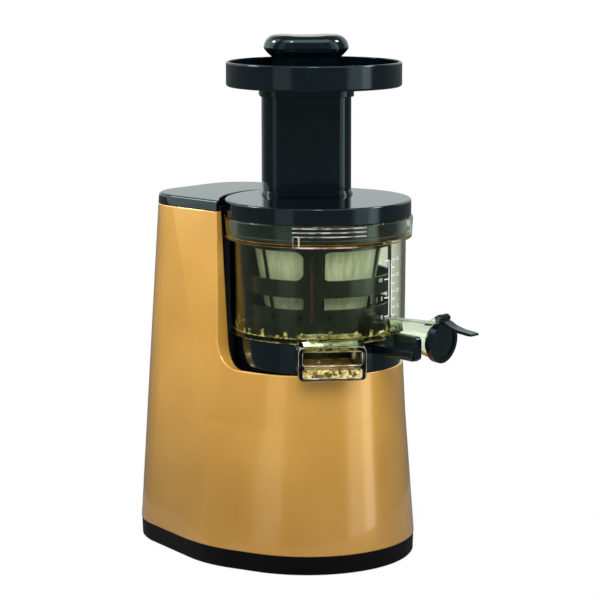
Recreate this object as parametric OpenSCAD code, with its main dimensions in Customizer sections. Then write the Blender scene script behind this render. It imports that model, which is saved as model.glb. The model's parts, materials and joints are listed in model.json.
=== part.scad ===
// Cold press juicer: a tapered motor base that carries a clear juicing bowl.
// Millimetres. The bowl axis is x = 0, y = 0 while a piece is drawn; seat() then
// moves every piece so that the origin is below the middle of the whole juicer.
// Front is -Y, up is +Z. Angles round the bowl are counted from the front,
// negative towards -X.

/* [Body] */
// Height of the body's flat top above the table
body_h = 275.5; // [262:0.5:300]
// Radius of the body's round front at table level
front_r_low = 84; // [80:0.5:95]
// Radius of the body's round front at the waist
front_r_waist = 73.6; // [70:0.1:85]
// Radius of the body's round front at the top
front_r_high = 63.5; // [60:0.5:80]
// Centre of the round front behind the bowl axis, at table level
front_y_low = 10.5; // [8:0.5:20]
// Centre of the round front behind the bowl axis, at the waist
front_y_waist = 7.9; // [5:0.1:15]
// Centre of the round front behind the bowl axis, at the top
front_y_high = 5.5; // [0:0.5:10]
// Radius of the bulged sides at table level
side_r_low = 89; // [84:0.5:100]
// Radius of the bulged sides at the waist
side_r_waist = 75.5; // [70:0.5:85]
// Centre of the bulged sides behind the bowl axis, at table level
side_y_low = 34.5; // [25:0.5:45]
// Centre of the bulged sides behind the bowl axis, at the waist
side_y_waist = 41; // [30:0.5:50]
// Height of the waist, where the flare of the foot begins
waist_z = 110; // [80:1:125]
// Radius of the two rear corners at table level
rear_r_low = 60; // [50:0.5:70]
// Radius of the two rear corners at the top
rear_r_high = 35.5; // [30:0.5:45]
// Half the distance between the rear corners' centres at table level
rear_x_low = 12; // [10:0.5:20]
// Half the distance between the rear corners' centres at the top
rear_x_high = 21.5; // [15:0.5:30]
// Centre of the rear corners behind the bowl axis, at table level
rear_y_low = 97; // [90:0.5:115]
// Centre of the rear corners behind the bowl axis, at the top
rear_y_high = 97.5; // [90:0.5:115]
// Wall of the painted shell
shell_wall = 2.6; // [2:0.1:4]
// Height of the black base above the table
base_band = 14.8; // [12:0.1:20]
// How far the black base stands in from the shell
base_inset = 0.3; // [0.1:0.1:3]
// Height of the black cap on the rear column
cap_h = 8.3; // [6:0.1:12]
// Gap that the feet leave under the base
foot_h = 0.6; // [0.5:0.1:4]
// Radius of a rubber foot
foot_r = 8; // [6:0.5:10]

/* [Bowl recess] */
// Height of the ledge that the bowl stands on
ledge_z = 150.5; // [145:0.5:160]
// Distance of the recess's side edge behind the bowl axis, at the ledge
notch_y = 38.6; // [30:0.2:45]
// How far the side edge leans back for each millimetre of height
notch_lean = 0.085; // [0.05:0.005:0.12]
// Radius of the corner between ledge and side edge
notch_r = 22; // [15:0.5:25]
// Radius of the recess's back wall at the ledge
recess_r_low = 70; // [69.5:0.1:72]
// Radius of the recess's back wall at the body's top
recess_r_high = 74.5; // [74:0.1:78]
// Thickness of the cradle's deck and back wall
cradle_t = 2.4; // [2:0.1:3]

/* [Bowl] */
// Outer radius of the clear bowl
bowl_r = 67; // [66.5:0.1:68]
// Wall of the bowl
bowl_wall = 2.6; // [2:0.1:3]
// Thickness of the bowl's floor
floor_t = 3; // [2.5:0.1:4]
// Height of the black skirt under the bowl
skirt_h = 23; // [22.5:0.1:26]
// Outer radius of the skirt
skirt_r = 63.5; // [62:0.1:64]
// Wall of the skirt
skirt_wall = 2.8; // [2:0.1:3]
// Height of the bowl's straight wall, from its floor's underside to its rim
bowl_h = 73; // [72:0.5:80]
// Outer radius of the bowl's rim
rim_r = 72; // [71.5:0.1:73]
// Height of the rim
rim_h = 16.2; // [15:0.1:20]
// Wall of the rim
rim_wall = 1.8; // [1.5:0.1:2.5]
// Half the angle that the ribbed grip on the rim covers
grip_angle = 22; // [15:1:28]

/* [Pulp chute] */
// Angle of the chute round the bowl
chute_angle = -43; // [-46:1:-41]
// Width of the chute
chute_w = 50.5; // [44:0.5:52]
// Height of the chute's mouth frame
chute_h = 25.5; // [24:0.1:27]
// Reach of the chute's mouth from the bowl axis
chute_reach = 88; // [82:0.5:95]
// Wall of the chute
chute_wall = 2.5; // [2:0.1:3.5]
// Rise of the chute's roof from its mouth to the bowl wall
chute_rise = 6; // [3:0.5:8]
// Half the angle of the pulp hole in the bowl's floor
pulp_half_angle = 28; // [20:1:32]

/* [Juice spout] */
// Reach of the spout's mouth from the bowl axis
spout_reach = 116; // [105:0.5:125]
// Height of the mouth's centre above the bowl floor's underside
mouth_rise = 5.4; // [4:0.1:8]
// Outer radius of the spout's mouth
mouth_r = 14.2; // [13:0.1:16]
// Outer radius of the spout at its root
root_r = 8; // [7:0.1:9]
// Length of the spout's cone
spout_len = 51; // [40:0.5:52]
// Slope of the spout below level, in degrees
spout_tilt = 5.4; // [3:0.1:8]
// Wall of the spout
spout_wall = 2; // [1.5:0.1:2.5]
// Length of the thumb tab on the spout's cap
tab_len = 27; // [15:0.5:35]

/* [Control lever] */
// Angle of the lever round the bowl
lever_angle = -10; // [-12:1:-9]
// Reach of the lever's tip from the bowl axis
lever_reach = 115; // [105:0.5:118]
// Thickness of the lever
lever_t = 5; // [4:0.5:6]
// Height of the lever's paddle
paddle_h = 17.5; // [12:0.5:18]
// Length of the lever's paddle
paddle_len = 26; // [18:0.5:28]

/* [Lid and feed tube] */
// Outer radius of the lid
lid_r = 71; // [70:0.1:71.5]
// Height of the lid's rim
lid_h = 13.1; // [12:0.1:16]
// Width of the feed tube
tube_w = 68; // [60:0.5:70]
// Depth of the feed tube
tube_d = 46; // [38:0.5:46]
// Corner radius of the feed tube
tube_corner = 14; // [10:0.5:18]
// Wall of the feed tube
tube_wall = 3; // [2:0.1:3.5]
// Height of the feed tube above the lid
tube_h = 84.7; // [75:0.1:110]
// Angle that the feed tube faces
tube_angle = -45; // [-50:1:-40]
// Distance of the tube's centre behind the bowl axis, seen along its facing
tube_back = 36; // [35:0.5:36.5]
// Distance of the tube's centre to the side of the bowl axis
tube_side = -6; // [-8:0.5:4]

/* [Tray and pusher] */
// Outer radius of the hopper tray
tray_r = 66.5; // [64:0.5:75]
// Height of the hopper tray
tray_h = 18.6; // [14:0.2:25]
// Wall of the hopper tray
tray_wall = 2.2; // [1.8:0.1:3]
// Radius of the tray's lower edge
tray_edge = 1.8; // [1:0.1:5]
// Distance of the tray's centre to the side of the bowl axis
tray_side = -3; // [-5:0.5:0]
// Width of the pusher's knob
knob_w = 65.2; // [55:0.1:70]
// Depth of the pusher's knob
knob_d = 46.7; // [40:0.1:52]
// Height of the pusher's knob
knob_h = 14.4; // [12:0.1:22]
// Width of the pusher's neck
neck_w = 52; // [40:0.5:54]
// Length of the pusher's shaft below its flange
pusher_len = 87.2; // [60:0.1:95]

/* [Juicing set] */
// Outer radius of the strainer at its foot
strainer_r_low = 40; // [39:0.1:40.5]
// Outer radius of the strainer at its flange
strainer_r_high = 50.9; // [48:0.1:51]
// Outer radius of the brush frame
brush_r = 56; // [55:0.1:57]
// Wall of the brush frame
brush_wall = 2.5; // [2:0.1:3]
// Radius of the auger's core at its foot
core_r_low = 22; // [20:0.5:24]
// Radius of the auger's core at its top
core_r_high = 13; // [11:0.5:16]
// Turns that each of the auger's flights makes
flight_turns = 1.2; // [0.8:0.05:1.5]
// Teeth on the auger's gear
sun_teeth = 18; // [18:2:18]
// Teeth on the idler gear
idler_teeth = 16; // [16:2:16]
// Module of the gears in the bowl
bowl_module = 1.5; // [1.5:0.1:1.5]
// Face width of the gears in the bowl
bowl_gear_h = 6; // [5:0.1:6]

/* [Drive] */
// Radius of the drive shaft in its bearings
shaft_r = 7.42; // [7.4:0.01:7.45]
// Width across the flats of the shaft's hexagon
hex_af = 12.4; // [11:0.1:12.6]
// Radius of the motor's can
motor_r = 42; // [38:0.5:44]
// Teeth on the motor's pinion
pinion_one = 13; // [12:1:15]
// Teeth on the first wheel
wheel_one = 52; // [48:1:54]
// Teeth on the first wheel's pinion
pinion_two = 13; // [12:1:14]
// Teeth on the second wheel
wheel_two = 45; // [42:1:46]
// Teeth on the second wheel's pinion
pinion_three = 14; // [13:1:15]
// Teeth on the output wheel
wheel_three = 42; // [40:1:43]

/* [Clearances] */
// Gap between pieces that slide or turn past each other
play = 0.3; // [0.2:0.05:0.4]
// Radial clearance of a shaft in its bore
running = 0.08; // [0.05:0.01:0.1]

/* [Hidden] */

// colours
gold = "#D9A862";
gloss_black = "#15181A";
smoky = [0.45, 0.43, 0.33, 0.45];
steel = "#A9ADB0";
dark_plastic = "#26221E";
grey_plastic = "#8C8F92";
copper = "#B26A35";
rubber = "#2A2A2C";

// smoothness of round shapes, and of the shapes that a hull rounds
$fn = 96;
hull_fn = 72;
// thickness of a slice that a hull joins to the next
skin = 0.01;
// how far a cutter runs past the faces that it cuts
over = 1;

// heights in the base
cap_z = body_h - cap_h;
base_floor_z = foot_h + 3;
deck_z = ledge_z - play;
deck_low = deck_z - cradle_t;
rib_h = 2.6;
rib_w = 3.4;

// heights in the bowl
floor_z = ledge_z + skirt_h;
floor_top = floor_z + floor_t;
step_z = floor_z + bowl_h;
shelf_z = step_z + 2.5;
rim_top = step_z + rim_h;
chute_low = ledge_z + 0.5;
chute_top = chute_low + chute_h;
lid_z = rim_top + 0.2;
lid_top = lid_z + lid_h;
lid_plate = 4;
tube_top = lid_top + tube_h;

// the tray and the pusher
tray_z = tube_top + play;
tray_floor = tray_z + 2;
tray_top = tray_z + tray_h;
flange_z = tray_floor + play;
flange_t = 3;
neck_z = tray_top + 3.7;
knob_top = neck_z + knob_h;

// gears in the bowl: sun on the auger, one idler, ring in the brush frame
ring_teeth = sun_teeth + 2 * idler_teeth;
bowl_gear_z = floor_top + 1.5;
idler_angle = 137;
idler_at = bowl_module * (sun_teeth + idler_teeth) / 2;
idler_pin_r = 3;
strainer_z = bowl_gear_z + bowl_gear_h + 2.5;
strainer_floor_t = 2.5;
strainer_top = shelf_z + 2;
pulp_r_in = 19;
pulp_r_out = 33;
sun_hole_r = 16.5;

// gearbox: module of each stage, heights, and where its shafts stand
stage_module = [1, 1.25, 1.5];
box_z = 97;
box_floor = 3;
box_h = 39;
box_top = box_z + box_h;
cover_t = 3;
centre_one = stage_module[0] * (pinion_one + wheel_one) / 2;
centre_two = stage_module[1] * (pinion_two + wheel_two) / 2;
centre_three = stage_module[2] * (pinion_three + wheel_three) / 2;
turn_three = 130;
turn_two = 62;
turn_one = 72;
second_at = polar(centre_three, turn_three);
first_at = second_at + polar(centre_two, turn_two);
motor_at = first_at + polar(centre_one, turn_one);
axle_one_r = 3;
axle_two_r = 4;
bearing_r = 16;
bearing_h = 9;
bearing_bore = 7.5;
tower_r = 19;

// motor
motor_shaft_r = 4;
motor_low = 24;
can_wall = 1.6;
stator_z = 45;
stator_h = 27;
rotor_r = 27.4;
small_bearing_r = 11;
small_bearing_h = 7;

// where screws and feet stand, as x and y from the bowl axis
base_screw_at = [[72, 20], [-72, 20], [45, -44], [-45, -44], [40, 130], [-40, 130]];
foot_at = [[46, -14], [-46, -14], [42, 108], [-42, 108]];
box_screw_at = [[30.7, -20], [-30.7, -20], [-58.5, 20.7], [24, 50]];
motor_screw_ring = 30;

// switch and cord on the flat strip down the back
switch_z = 62;
gland_z = 30;
back_slope = atan((rear_y(0) - rear_y(body_h)) / body_h);

// the juicer's middle, front to back
tab_tip = spout_reach + (5 + tab_len) * cos(spout_tilt) + 10.6 * sin(spout_tilt);
gland_tip = rear_y(gland_z) + 3 * cos(back_slope) + 7.5 * sin(back_slope);
mid_y = (gland_tip - tab_tip) / 2;

function mix(a, b, t) = a + (b - a) * t;
function polar(r, a) = [r * cos(a), r * sin(a)];
function rear_y(z) = mix(rear_y_low, rear_y_high, z / body_h) + mix(rear_r_low, rear_r_high, z / body_h);
// the body's outline: round front, bulged sides and two rear corners, as circles [radius, x, y] on the right half
function rear_circle(z) = [
    mix(rear_r_low, rear_r_high, z / body_h), mix(rear_x_low, rear_x_high, z / body_h), mix(rear_y_low, rear_y_high, z / body_h),
];
outline_circles = [
    [[front_r_low, 0, front_y_low], [side_r_low, 0, side_y_low], rear_circle(0)],
    [[front_r_waist, 0, front_y_waist], [side_r_waist, 0, side_y_waist], rear_circle(waist_z)],
    [[front_r_high, 0, front_y_high], rear_circle(body_h)],
];
function reach(c, u) = c[0] + c[1] * u[0] + c[2] * u[1];
function furthest(circles, u) =
    let (far = max([for (c = circles) reach(c, u)]))
    [for (c = circles) if (reach(c, u) == far) [c[1], c[2]] + c[0] * u][0];
function outline_point(z, a, inset) =
    let (u = [cos(a), sin(a)], k = z < waist_z ? 0 : 1,
        t = z < waist_z ? z / waist_z : (z - waist_z) / (body_h - waist_z))
    mix(furthest(outline_circles[k], u), furthest(outline_circles[k + 1], u), t) - inset * u;
function body_outline(z, inset) = concat(
    [for (a = [-90:5:90]) outline_point(z, a, inset)],
    [for (a = [90:-5:-85]) let (p = outline_point(z, a, inset)) [-p[0], p[1]]]);
function notch_line(z) = notch_y + notch_lean * (z - ledge_z);
function recess_r(z) = mix(recess_r_low, recess_r_high, (z - ledge_z) / (body_h - ledge_z));
function strainer_r(z) = mix(strainer_r_low, strainer_r_high, (z - strainer_z) / (strainer_top - strainer_z));

// half the angle that a gear tooth fills at radius r, with its involute flank
function involute(a) = tan(a) - a * PI / 180;
function flank_angle(r, base_r) = r > base_r ? acos(base_r / r) : 0;
function tooth_half(r, m, teeth, slack) =
    90 / teeth - slack / (m * teeth) * 360 / PI / 2
    + (involute(20) - involute(flank_angle(r, m * teeth / 2 * cos(20)))) * 180 / PI;

// outline of a spur gear with a tooth on the +X side
module gear_outline(m, teeth, slack = 0.18, tip = 0.85, root = 1.2) {
    pitch = m * teeth / 2;
    radii = [pitch - root * m, pitch, pitch + tip * m];
    left = [for (r = radii) [r, -tooth_half(r, m, teeth, slack)]];
    right = [for (i = [2:-1:0]) [radii[i], tooth_half(radii[i], m, teeth, slack)]];
    polygon([for (t = [0:teeth - 1]) for (p = concat(left, right)) polar(p[0], p[1] + t * 360 / teeth)]);
}

module spur_gear(m, teeth, h) {
    linear_extrude(height = h) gear_outline(m, teeth);
}

// moves a piece from the bowl axis to the juicer's middle
module seat() {
    translate([0, -mid_y, 0]) children();
}

module turn(a) {
    rotate([0, 0, a]) children();
}

module ring(r_out, r_in, h) {
    difference() {
        cylinder(r = r_out, h = h);
        translate([0, 0, -over]) cylinder(r = r_in, h = h + 2 * over);
    }
}

// rectangle with true round corners, centred
module soft_rect(w, d, r) {
    square([w - 2 * r, d], center = true);
    square([w, d - 2 * r], center = true);
    for (x = [-1, 1]) for (y = [-1, 1]) translate([x * (w / 2 - r), y * (d / 2 - r)]) circle(r = r);
}

// the body between given heights, each with its own inset
module body_loft(zs, insets) {
    rings = [for (k = [0:len(zs) - 1]) body_outline(zs[k], insets[k])];
    n = len(rings[0]);
    last = len(zs) - 1;
    polyhedron(
        points = [for (k = [0:last]) for (p = rings[k]) [p[0], p[1], zs[k]]],
        faces = concat(
            [[for (i = [0:n - 1]) i], [for (i = [n - 1:-1:0]) last * n + i]],
            [for (k = [0:last - 1]) for (i = [0:n - 1]) [k * n + i, (k + 1) * n + i, (k + 1) * n + (i + 1) % n]],
            [for (k = [0:last - 1]) for (i = [0:n - 1]) [k * n + i, (k + 1) * n + (i + 1) % n, k * n + (i + 1) % n]]),
        convexity = 2);
}

module body_block(z0, z1, inset = 0) {
    zs = z0 < waist_z && z1 > waist_z ? [z0, waist_z, z1] : [z0, z1];
    body_loft(zs, [for (z = zs) inset]);
}

// everything above the ledge and in front of the recess's side edge, grown by g
module notch_prism(g = 0) {
    corner_z = ledge_z + notch_r;
    corner_y = notch_line(corner_z) - notch_r / cos(atan(notch_lean));
    last = -atan(notch_lean);
    arc = [for (i = [0:8]) mix(-90, last, i / 8)];
    high = body_h + 20;
    rotate([90, 0, 90])
        linear_extrude(height = 400, center = true)
            polygon(concat(
                [[-300, high], [-300, ledge_z - g]],
                [for (a = arc) [corner_y, corner_z] + polar(notch_r + g, a)],
                [[notch_line(high) + g / cos(last), high]]));
}

// the round recess round the bowl, grown by g
module recess_cone(g = 0) {
    high = body_h + 5;
    low = ledge_z - 10;
    translate([0, 0, low]) cylinder(r1 = recess_r(low) + g, r2 = recess_r(high) + g, h = high - low);
}

// ------------------------------------------------------------------ motor base

module base_cover() {
    pan_low = foot_h + skin;
    color(rubber) seat() difference() {
        union() {
            difference() {
                body_loft(
                    [foot_h, foot_h + 1, base_band],
                    [for (grow = [2.4, 1.4, 0]) base_inset + grow]);
                body_block(base_floor_z, base_band + over, base_inset + 3);
            }
            difference() {
                body_block(base_band - 2, base_band + 4, shell_wall + 0.2);
                body_block(base_band - 3, base_band + 5, shell_wall + 2.2);
            }
            for (p = base_screw_at) translate([p[0], p[1], pan_low]) cylinder(r = 5.5, h = base_band - pan_low);
        }
        for (p = base_screw_at) translate([p[0], p[1], 0]) {
            cylinder(r = 2.1, h = base_band + over);
            cylinder(r = 4, h = foot_h + 4);
        }
        for (p = foot_at) translate([p[0], p[1], 0]) cylinder(r = foot_r, h = foot_h + 1.5);
        // air slots under the motor
        for (i = [-5:5])
            translate([motor_at[0] - 24, motor_at[1] + i * 6 - 1.5, 0]) cube([48, 3, base_floor_z + over]);
    }
}

module rubber_feet() {
    color(rubber) seat() for (p = foot_at) translate([p[0], p[1], 0]) {
        cylinder(r1 = foot_r - 0.8, r2 = foot_r, h = 0.8);
        translate([0, 0, 0.8]) cylinder(r = foot_r, h = foot_h + 0.7);
    }
}

module shell_bosses() {
    intersection() {
        body_block(base_band, base_band + 22, shell_wall / 2);
        union() for (p = base_screw_at) translate([p[0], p[1], base_band]) {
            cylinder(r = 5, h = 20);
            turn(atan2(p[1] - (p[1] > 60 ? rear_y_low : front_y_low), p[0])) translate([0, -1.5, 4.5]) cube([22, 3, 12]);
        }
    }
}

module body_shell() {
    color(gold) seat() difference() {
        union() {
            difference() {
                body_block(base_band, cap_z);
                body_block(base_band - over, deck_low - rib_h, shell_wall);
                body_block(deck_low - rib_h - 2, deck_low + over, shell_wall + rib_w);
                difference() {
                    body_block(deck_low, cap_z + over, shell_wall);
                    // the web that closes the shell beside the recess
                    intersection() {
                        notch_prism(shell_wall);
                        translate([-100, 18, deck_low]) cube([200, 60, body_h]);
                    }
                }
                notch_prism();
            }
            shell_bosses();
        }
        intersection() {
            recess_cone();
            translate([-100, 17.9, deck_low]) cube([200, 100, body_h]);
        }
        for (p = base_screw_at) translate([p[0], p[1], 0]) cylinder(r = 1.6, h = base_band + 16);
        at_back(switch_z) translate([-10.5, -15, -20]) cube([21, 30, 30]);
        at_back(gland_z) translate([0, 0, -20]) cylinder(r = 6, h = 30);
    }
}

module rear_cap() {
    color(gloss_black) seat() difference() {
        union() {
            body_loft([cap_z, body_h - 2.2, body_h - 0.8, body_h], [0, 0.1, 0.7, 2.2]);
            difference() {
                body_block(cap_z - 4, cap_z + over, shell_wall + 0.2);
                body_block(cap_z - 5, cap_z, shell_wall + 2.2);
                notch_prism(shell_wall + 0.3);
                recess_cone(cradle_t + 0.6);
            }
        }
        notch_prism();
        recess_cone(0.8);
    }
}

module bowl_cradle() {
    color(gloss_black) seat() difference() {
        union() {
            intersection() {
                body_block(deck_low, deck_z, shell_wall + 0.2);
                translate([-100, -120, deck_low]) cube([200, 137.8, cradle_t]);
            }
            intersection() {
                body_block(deck_low, deck_z, shell_wall + 0.2);
                translate([0, 0, deck_low]) cylinder(r = recess_r_low - 0.2, h = cradle_t);
            }
            difference() {
                translate([0, 0, deck_low]) intersection() {
                    translate([-100, 0, 0]) cube([200, 100, cap_z - 0.1 - deck_low]);
                    cylinder(
                        r1 = recess_r(deck_low) + cradle_t,
                        r2 = recess_r(cap_z - 0.1) + cradle_t,
                        h = cap_z - 0.1 - deck_low);
                }
                difference() {
                    recess_cone();
                    translate([-100, -100, 0]) cube([200, 200, deck_z]);
                }
                notch_prism(shell_wall + 0.2);
                translate([-100, -100, deck_low - over]) cube([200, 140, cradle_t + over + 0.2]);
            }
            // ring that the skirt slips over
            difference() {
                translate([0, 0, deck_z]) ring(skirt_r - skirt_wall - play - 0.2, skirt_r - skirt_wall - 4.2, 4.8);
                turn(chute_angle) translate([-chute_w / 2 - 1, -100, deck_z]) cube([chute_w + 2, 100, 10]);
            }
            // bosses for the gearbox
            for (p = box_screw_at)
                translate([p[0], p[1], box_top + cover_t]) cylinder(r = 4.5, h = deck_low - box_top - cover_t + 0.5);
            // posts for the circuit board, and the sensor's seat
            difference() {
                union() {
                    for (x = [-22, 22]) for (z = [176, 226]) translate([x, 88, z]) rotate([90, 0, 0]) cylinder(r = 3, h = 20);
                    translate([-7, 70, 251]) cube([14, 7.4, 10]);
                }
                recess_cone(1);
            }
        }
        cylinder(r = tower_r + 0.2, h = body_h);
        for (p = box_screw_at) translate([p[0], p[1], 0]) cylinder(r = 1.3, h = deck_low);
    }
}

// outline of the gearbox, shrunk by g, with a lug at each screw
module box_outline(g = 0) {
    hull() {
        circle(r = 38 - g, $fn = 64);
        translate(second_at) circle(r = 34 - g, $fn = 64);
        translate(first_at) circle(r = 32 - g, $fn = 64);
        translate(motor_at) circle(r = 16 - g, $fn = 64);
    }
    if (g == 0) for (p = box_screw_at) translate(p) circle(r = 4);
}

module gearbox_housing() {
    seat_z = box_z + 1.5;
    color(grey_plastic) seat() difference() {
        union() {
            difference() {
                translate([0, 0, box_z]) linear_extrude(height = box_h) box_outline();
                translate([0, 0, box_z + box_floor]) linear_extrude(height = box_h) box_outline(2.5);
            }
            translate([0, 0, box_z]) cylinder(r = tower_r, h = bearing_h + 1.5);
            translate([second_at[0], second_at[1], box_z]) cylinder(r = 6.5, h = 11.6);
            translate([first_at[0], first_at[1], box_z]) cylinder(r = 5.5, h = 3.7);
            for (p = box_screw_at) translate([p[0], p[1], box_z + 0.5]) cylinder(r = 3.2, h = box_h - 0.5);
            // flange for the motor
            translate([motor_at[0], motor_at[1], box_z]) cylinder(r = motor_r - 4, h = box_floor);
        }
        translate([0, 0, seat_z]) cylinder(r = bearing_r, h = 20);
        translate([motor_at[0], motor_at[1], box_z - over]) cylinder(r = 9, h = box_floor + 2 * over);
        translate([first_at[0], first_at[1], box_z + 1]) cylinder(r = axle_one_r, h = 20);
        translate([second_at[0], second_at[1], box_z + 1]) cylinder(r = axle_two_r, h = 20);
        for (p = box_screw_at) translate([p[0], p[1], box_top - 12]) cylinder(r = 1.3, h = 20);
        for (a = [0:90:270]) translate(motor_at) turn(a + 45) translate([motor_screw_ring, 0, box_z - over])
            cylinder(r = 1.7, h = 10);
    }
}

module gearbox_cover() {
    color(grey_plastic) seat() difference() {
        union() {
            translate([0, 0, box_top]) linear_extrude(height = cover_t) box_outline();
            translate([0, 0, box_top]) cylinder(r = tower_r, h = deck_z - box_top);
        }
        translate([0, 0, box_top + 2]) cylinder(r = bearing_r, h = 40);
        cylinder(r = 13, h = box_top + 10);
        for (p = [[first_at, axle_one_r], [second_at, axle_two_r]])
            translate([p[0][0], p[0][1], box_top - over]) cylinder(r = p[1], h = over + 2);
        for (p = box_screw_at) translate([p[0], p[1], box_top - over]) cylinder(r = 1.3, h = 10);
    }
}

module gear_axles() {
    color(steel) seat() for (p = [[first_at, axle_one_r], [second_at, axle_two_r]])
        translate([p[0][0], p[0][1], box_z + 1]) cylinder(r = p[1], h = box_h + 1);
}

module shaft_bearings() {
    color(steel) seat() for (z = [box_z + 1.5, box_top + 2])
        translate([0, 0, z]) ring(bearing_r, bearing_bore, bearing_h);
}

module shaft_seal() {
    low = box_top + 2 + bearing_h;
    color(rubber) seat() translate([0, 0, low]) ring(bearing_r, shaft_r + play, deck_z - low);
}

module motor_housing() {
    top = box_z;
    color(steel) seat() translate([motor_at[0], motor_at[1], 0]) difference() {
        union() {
            translate([0, 0, motor_low]) ring(motor_r, motor_r - can_wall, top - motor_low - 1);
            translate([0, 0, top - 2]) cylinder(r = motor_r, h = 2);
            translate([0, 0, top - 10]) ring(small_bearing_r + 2, small_bearing_r, 9);
        }
        translate([0, 0, top - 11]) cylinder(r = 9, h = 20);
        translate([0, 0, top - 10]) cylinder(r = small_bearing_r, h = small_bearing_h);
        for (a = [0:90:270]) turn(a + 45) translate([motor_screw_ring, 0, top - 5]) cylinder(r = 1.7, h = 10);
        // cooling slots round the can
        for (a = [0:30:330]) turn(a) translate([motor_r - 5, -2, 80]) cube([10, 4, 9]);
        for (a = [0:30:330]) turn(a) translate([motor_r - 5, -2, 31]) cube([10, 4, 9]);
    }
}

module motor_end_bell() {
    color(steel) seat() translate([motor_at[0], motor_at[1], motor_low - 2]) difference() {
        union() {
            cylinder(r = motor_r, h = 2);
            translate([0, 0, 1]) cylinder(r = small_bearing_r + 2, h = 10);
        }
        translate([0, 0, -over]) cylinder(r = 7, h = 20);
        translate([0, 0, 4]) cylinder(r = small_bearing_r, h = 20);
        for (a = [0:60:300]) turn(a) translate([26, 0, -over]) cylinder(r = 7, h = 2 + 2 * over);
    }
}

module motor_bearings() {
    color(steel) seat() translate([motor_at[0], motor_at[1], 0]) for (z = [motor_low + 2, box_z - 10])
        translate([0, 0, z]) ring(small_bearing_r, motor_shaft_r + running, small_bearing_h);
}

module stator_core() {
    color("#6E7074") seat() translate([motor_at[0], motor_at[1], stator_z]) difference() {
        ring(motor_r - can_wall, rotor_r + 0.6, stator_h);
        for (a = [0:30:330]) turn(a) translate([rotor_r, -1.2, -over]) cube([9, 2.4, stator_h + 2 * over]);
    }
}

module stator_windings() {
    color(copper) seat() translate([motor_at[0], motor_at[1], 0]) for (z = [stator_z - 8, stator_z + stator_h])
        translate([0, 0, z]) ring(motor_r - 5, rotor_r + 2, 8);
}

module control_board() {
    color("#2F6B46") seat() translate([0, 88, 0]) {
        translate([-28, 0, 166]) cube([56, 1.6, 70]);
        difference() {
            translate([-9, 1.5, 196]) cube([18, 5, 20]);
            translate([0, 15.6, 190]) cylinder(r = 14, h = 40);
        }
        translate([-20, 1.6, 172]) cube([19, 15, 16]);
        translate([6, 1.6, 176]) cube([14, 8, 10]);
        for (x = [-22:7:20]) translate([x, 1.6, 222]) cube([5, 7, 8]);
    }
}

module capacitor() {
    color("#D8D9DA") seat() translate([0, 88 + 1.6 + 14, 194]) cylinder(r = 14, h = 24);
}

module lid_sensor() {
    color(dark_plastic) seat() translate([-6, 77.4, 252]) cube([12, 6, 8]);
}

module base_screws() {
    color(steel) seat() for (p = base_screw_at) translate([p[0], p[1], foot_h + 4]) difference() {
        union() {
            translate([0, 0, -2.4]) cylinder(r = 3.5, h = 2.4);
            cylinder(r = 1.6, h = base_band - foot_h + 10);
        }
        for (a = [0, 90]) turn(a) translate([-2.2, -0.5, -2.4 - over]) cube([4.4, 1, over + 1.2]);
    }
}

module gearbox_screws() {
    color(steel) seat() for (p = box_screw_at) translate([p[0], p[1], box_top - 11]) cylinder(r = 1.3, h = deck_low - box_top + 8);
}

module motor_screws() {
    color(steel) seat() translate([motor_at[0], motor_at[1], 0]) for (a = [0:90:270]) turn(a + 45)
        translate([motor_screw_ring, 0, box_z - 2]) {
            cylinder(r = 1.7, h = 2 + box_floor);
            translate([0, 0, -2]) cylinder(r = 3.2, h = 2);
        }
}

// the rocker rests with its lower half pushed in
rocker_tilt = 12;

// frame on the flat strip down the back: z out of the shell, y up the slope
module at_back(z) {
    translate([0, rear_y(z), z]) rotate([-90 + back_slope, 0, 0]) mirror([0, 1, 0]) children();
}

module switch_housing() {
    color(rubber) seat() at_back(switch_z) difference() {
        union() {
            translate([0, 0, 1]) cube([24, 34, 2], center = true);
            translate([-10.4, -14.9, -12]) cube([20.8, 29.8, 12.5]);
        }
        translate([-7, -11, -10.5]) cube([14, 22, 20]);
        translate([-9, 0, -3]) rotate([0, 90, 0]) cylinder(r = 1.5, h = 18);
    }
}

module switch_rocker() {
    color(gloss_black) seat() at_back(switch_z) translate([0, 0, -3]) rotate([rocker_tilt, 0, 0]) {
        rotate([90, 0, 90]) linear_extrude(height = 13.4, center = true)
            polygon([[-10.2, 4.6], [-9, -3], [0, -5.5], [9, -3], [10.2, 4.6], [5, 6.2], [0, 6.8], [-5, 6.2]]);
        translate([-8.6, 0, 0]) rotate([0, 90, 0]) cylinder(r = 1.42, h = 17.2);
    }
}

module cord_gland() {
    color(rubber) seat() at_back(gland_z) difference() {
        union() {
            cylinder(r1 = 9, r2 = 7.5, h = 3);
            translate([0, 0, -7]) cylinder(r = 5.95, h = 8);
            translate([0, 0, -7]) cylinder(r = 7.4, h = 7 - shell_wall - 0.1);
        }
        translate([0, 0, -8]) cylinder(r = 3.4, h = 20);
    }
}

// ---------------------------------------------------------------------- drive

module drive_shaft() {
    low = box_z + 1.8;
    hex_z = floor_top - 0.5;
    color(steel) seat() {
        translate([0, 0, low]) cylinder(r = shaft_r, h = hex_z - low);
        translate([0, 0, hex_z - 0.5]) cylinder(r = hex_af / 2 / cos(30), h = 19, $fn = 6);
        translate([0, 0, hex_z + 18.5]) cylinder(r1 = hex_af / 2 - 0.2, r2 = hex_af / 2 - 2, h = 2);
    }
}

module output_gear() {
    color(grey_plastic) seat() translate([0, 0, box_z + 22]) turn(turn_three) difference() {
        spur_gear(stage_module[2], wheel_three, 13);
        translate([0, 0, -over]) cylinder(r = shaft_r, h = 20);
        for (z = [-over, 9]) translate([0, 0, z]) ring(26, 13, 4 + over);
        for (a = [0:60:300]) turn(a) translate([19.5, 0, 0]) cylinder(r = 4, h = 20);
    }
}

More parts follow.
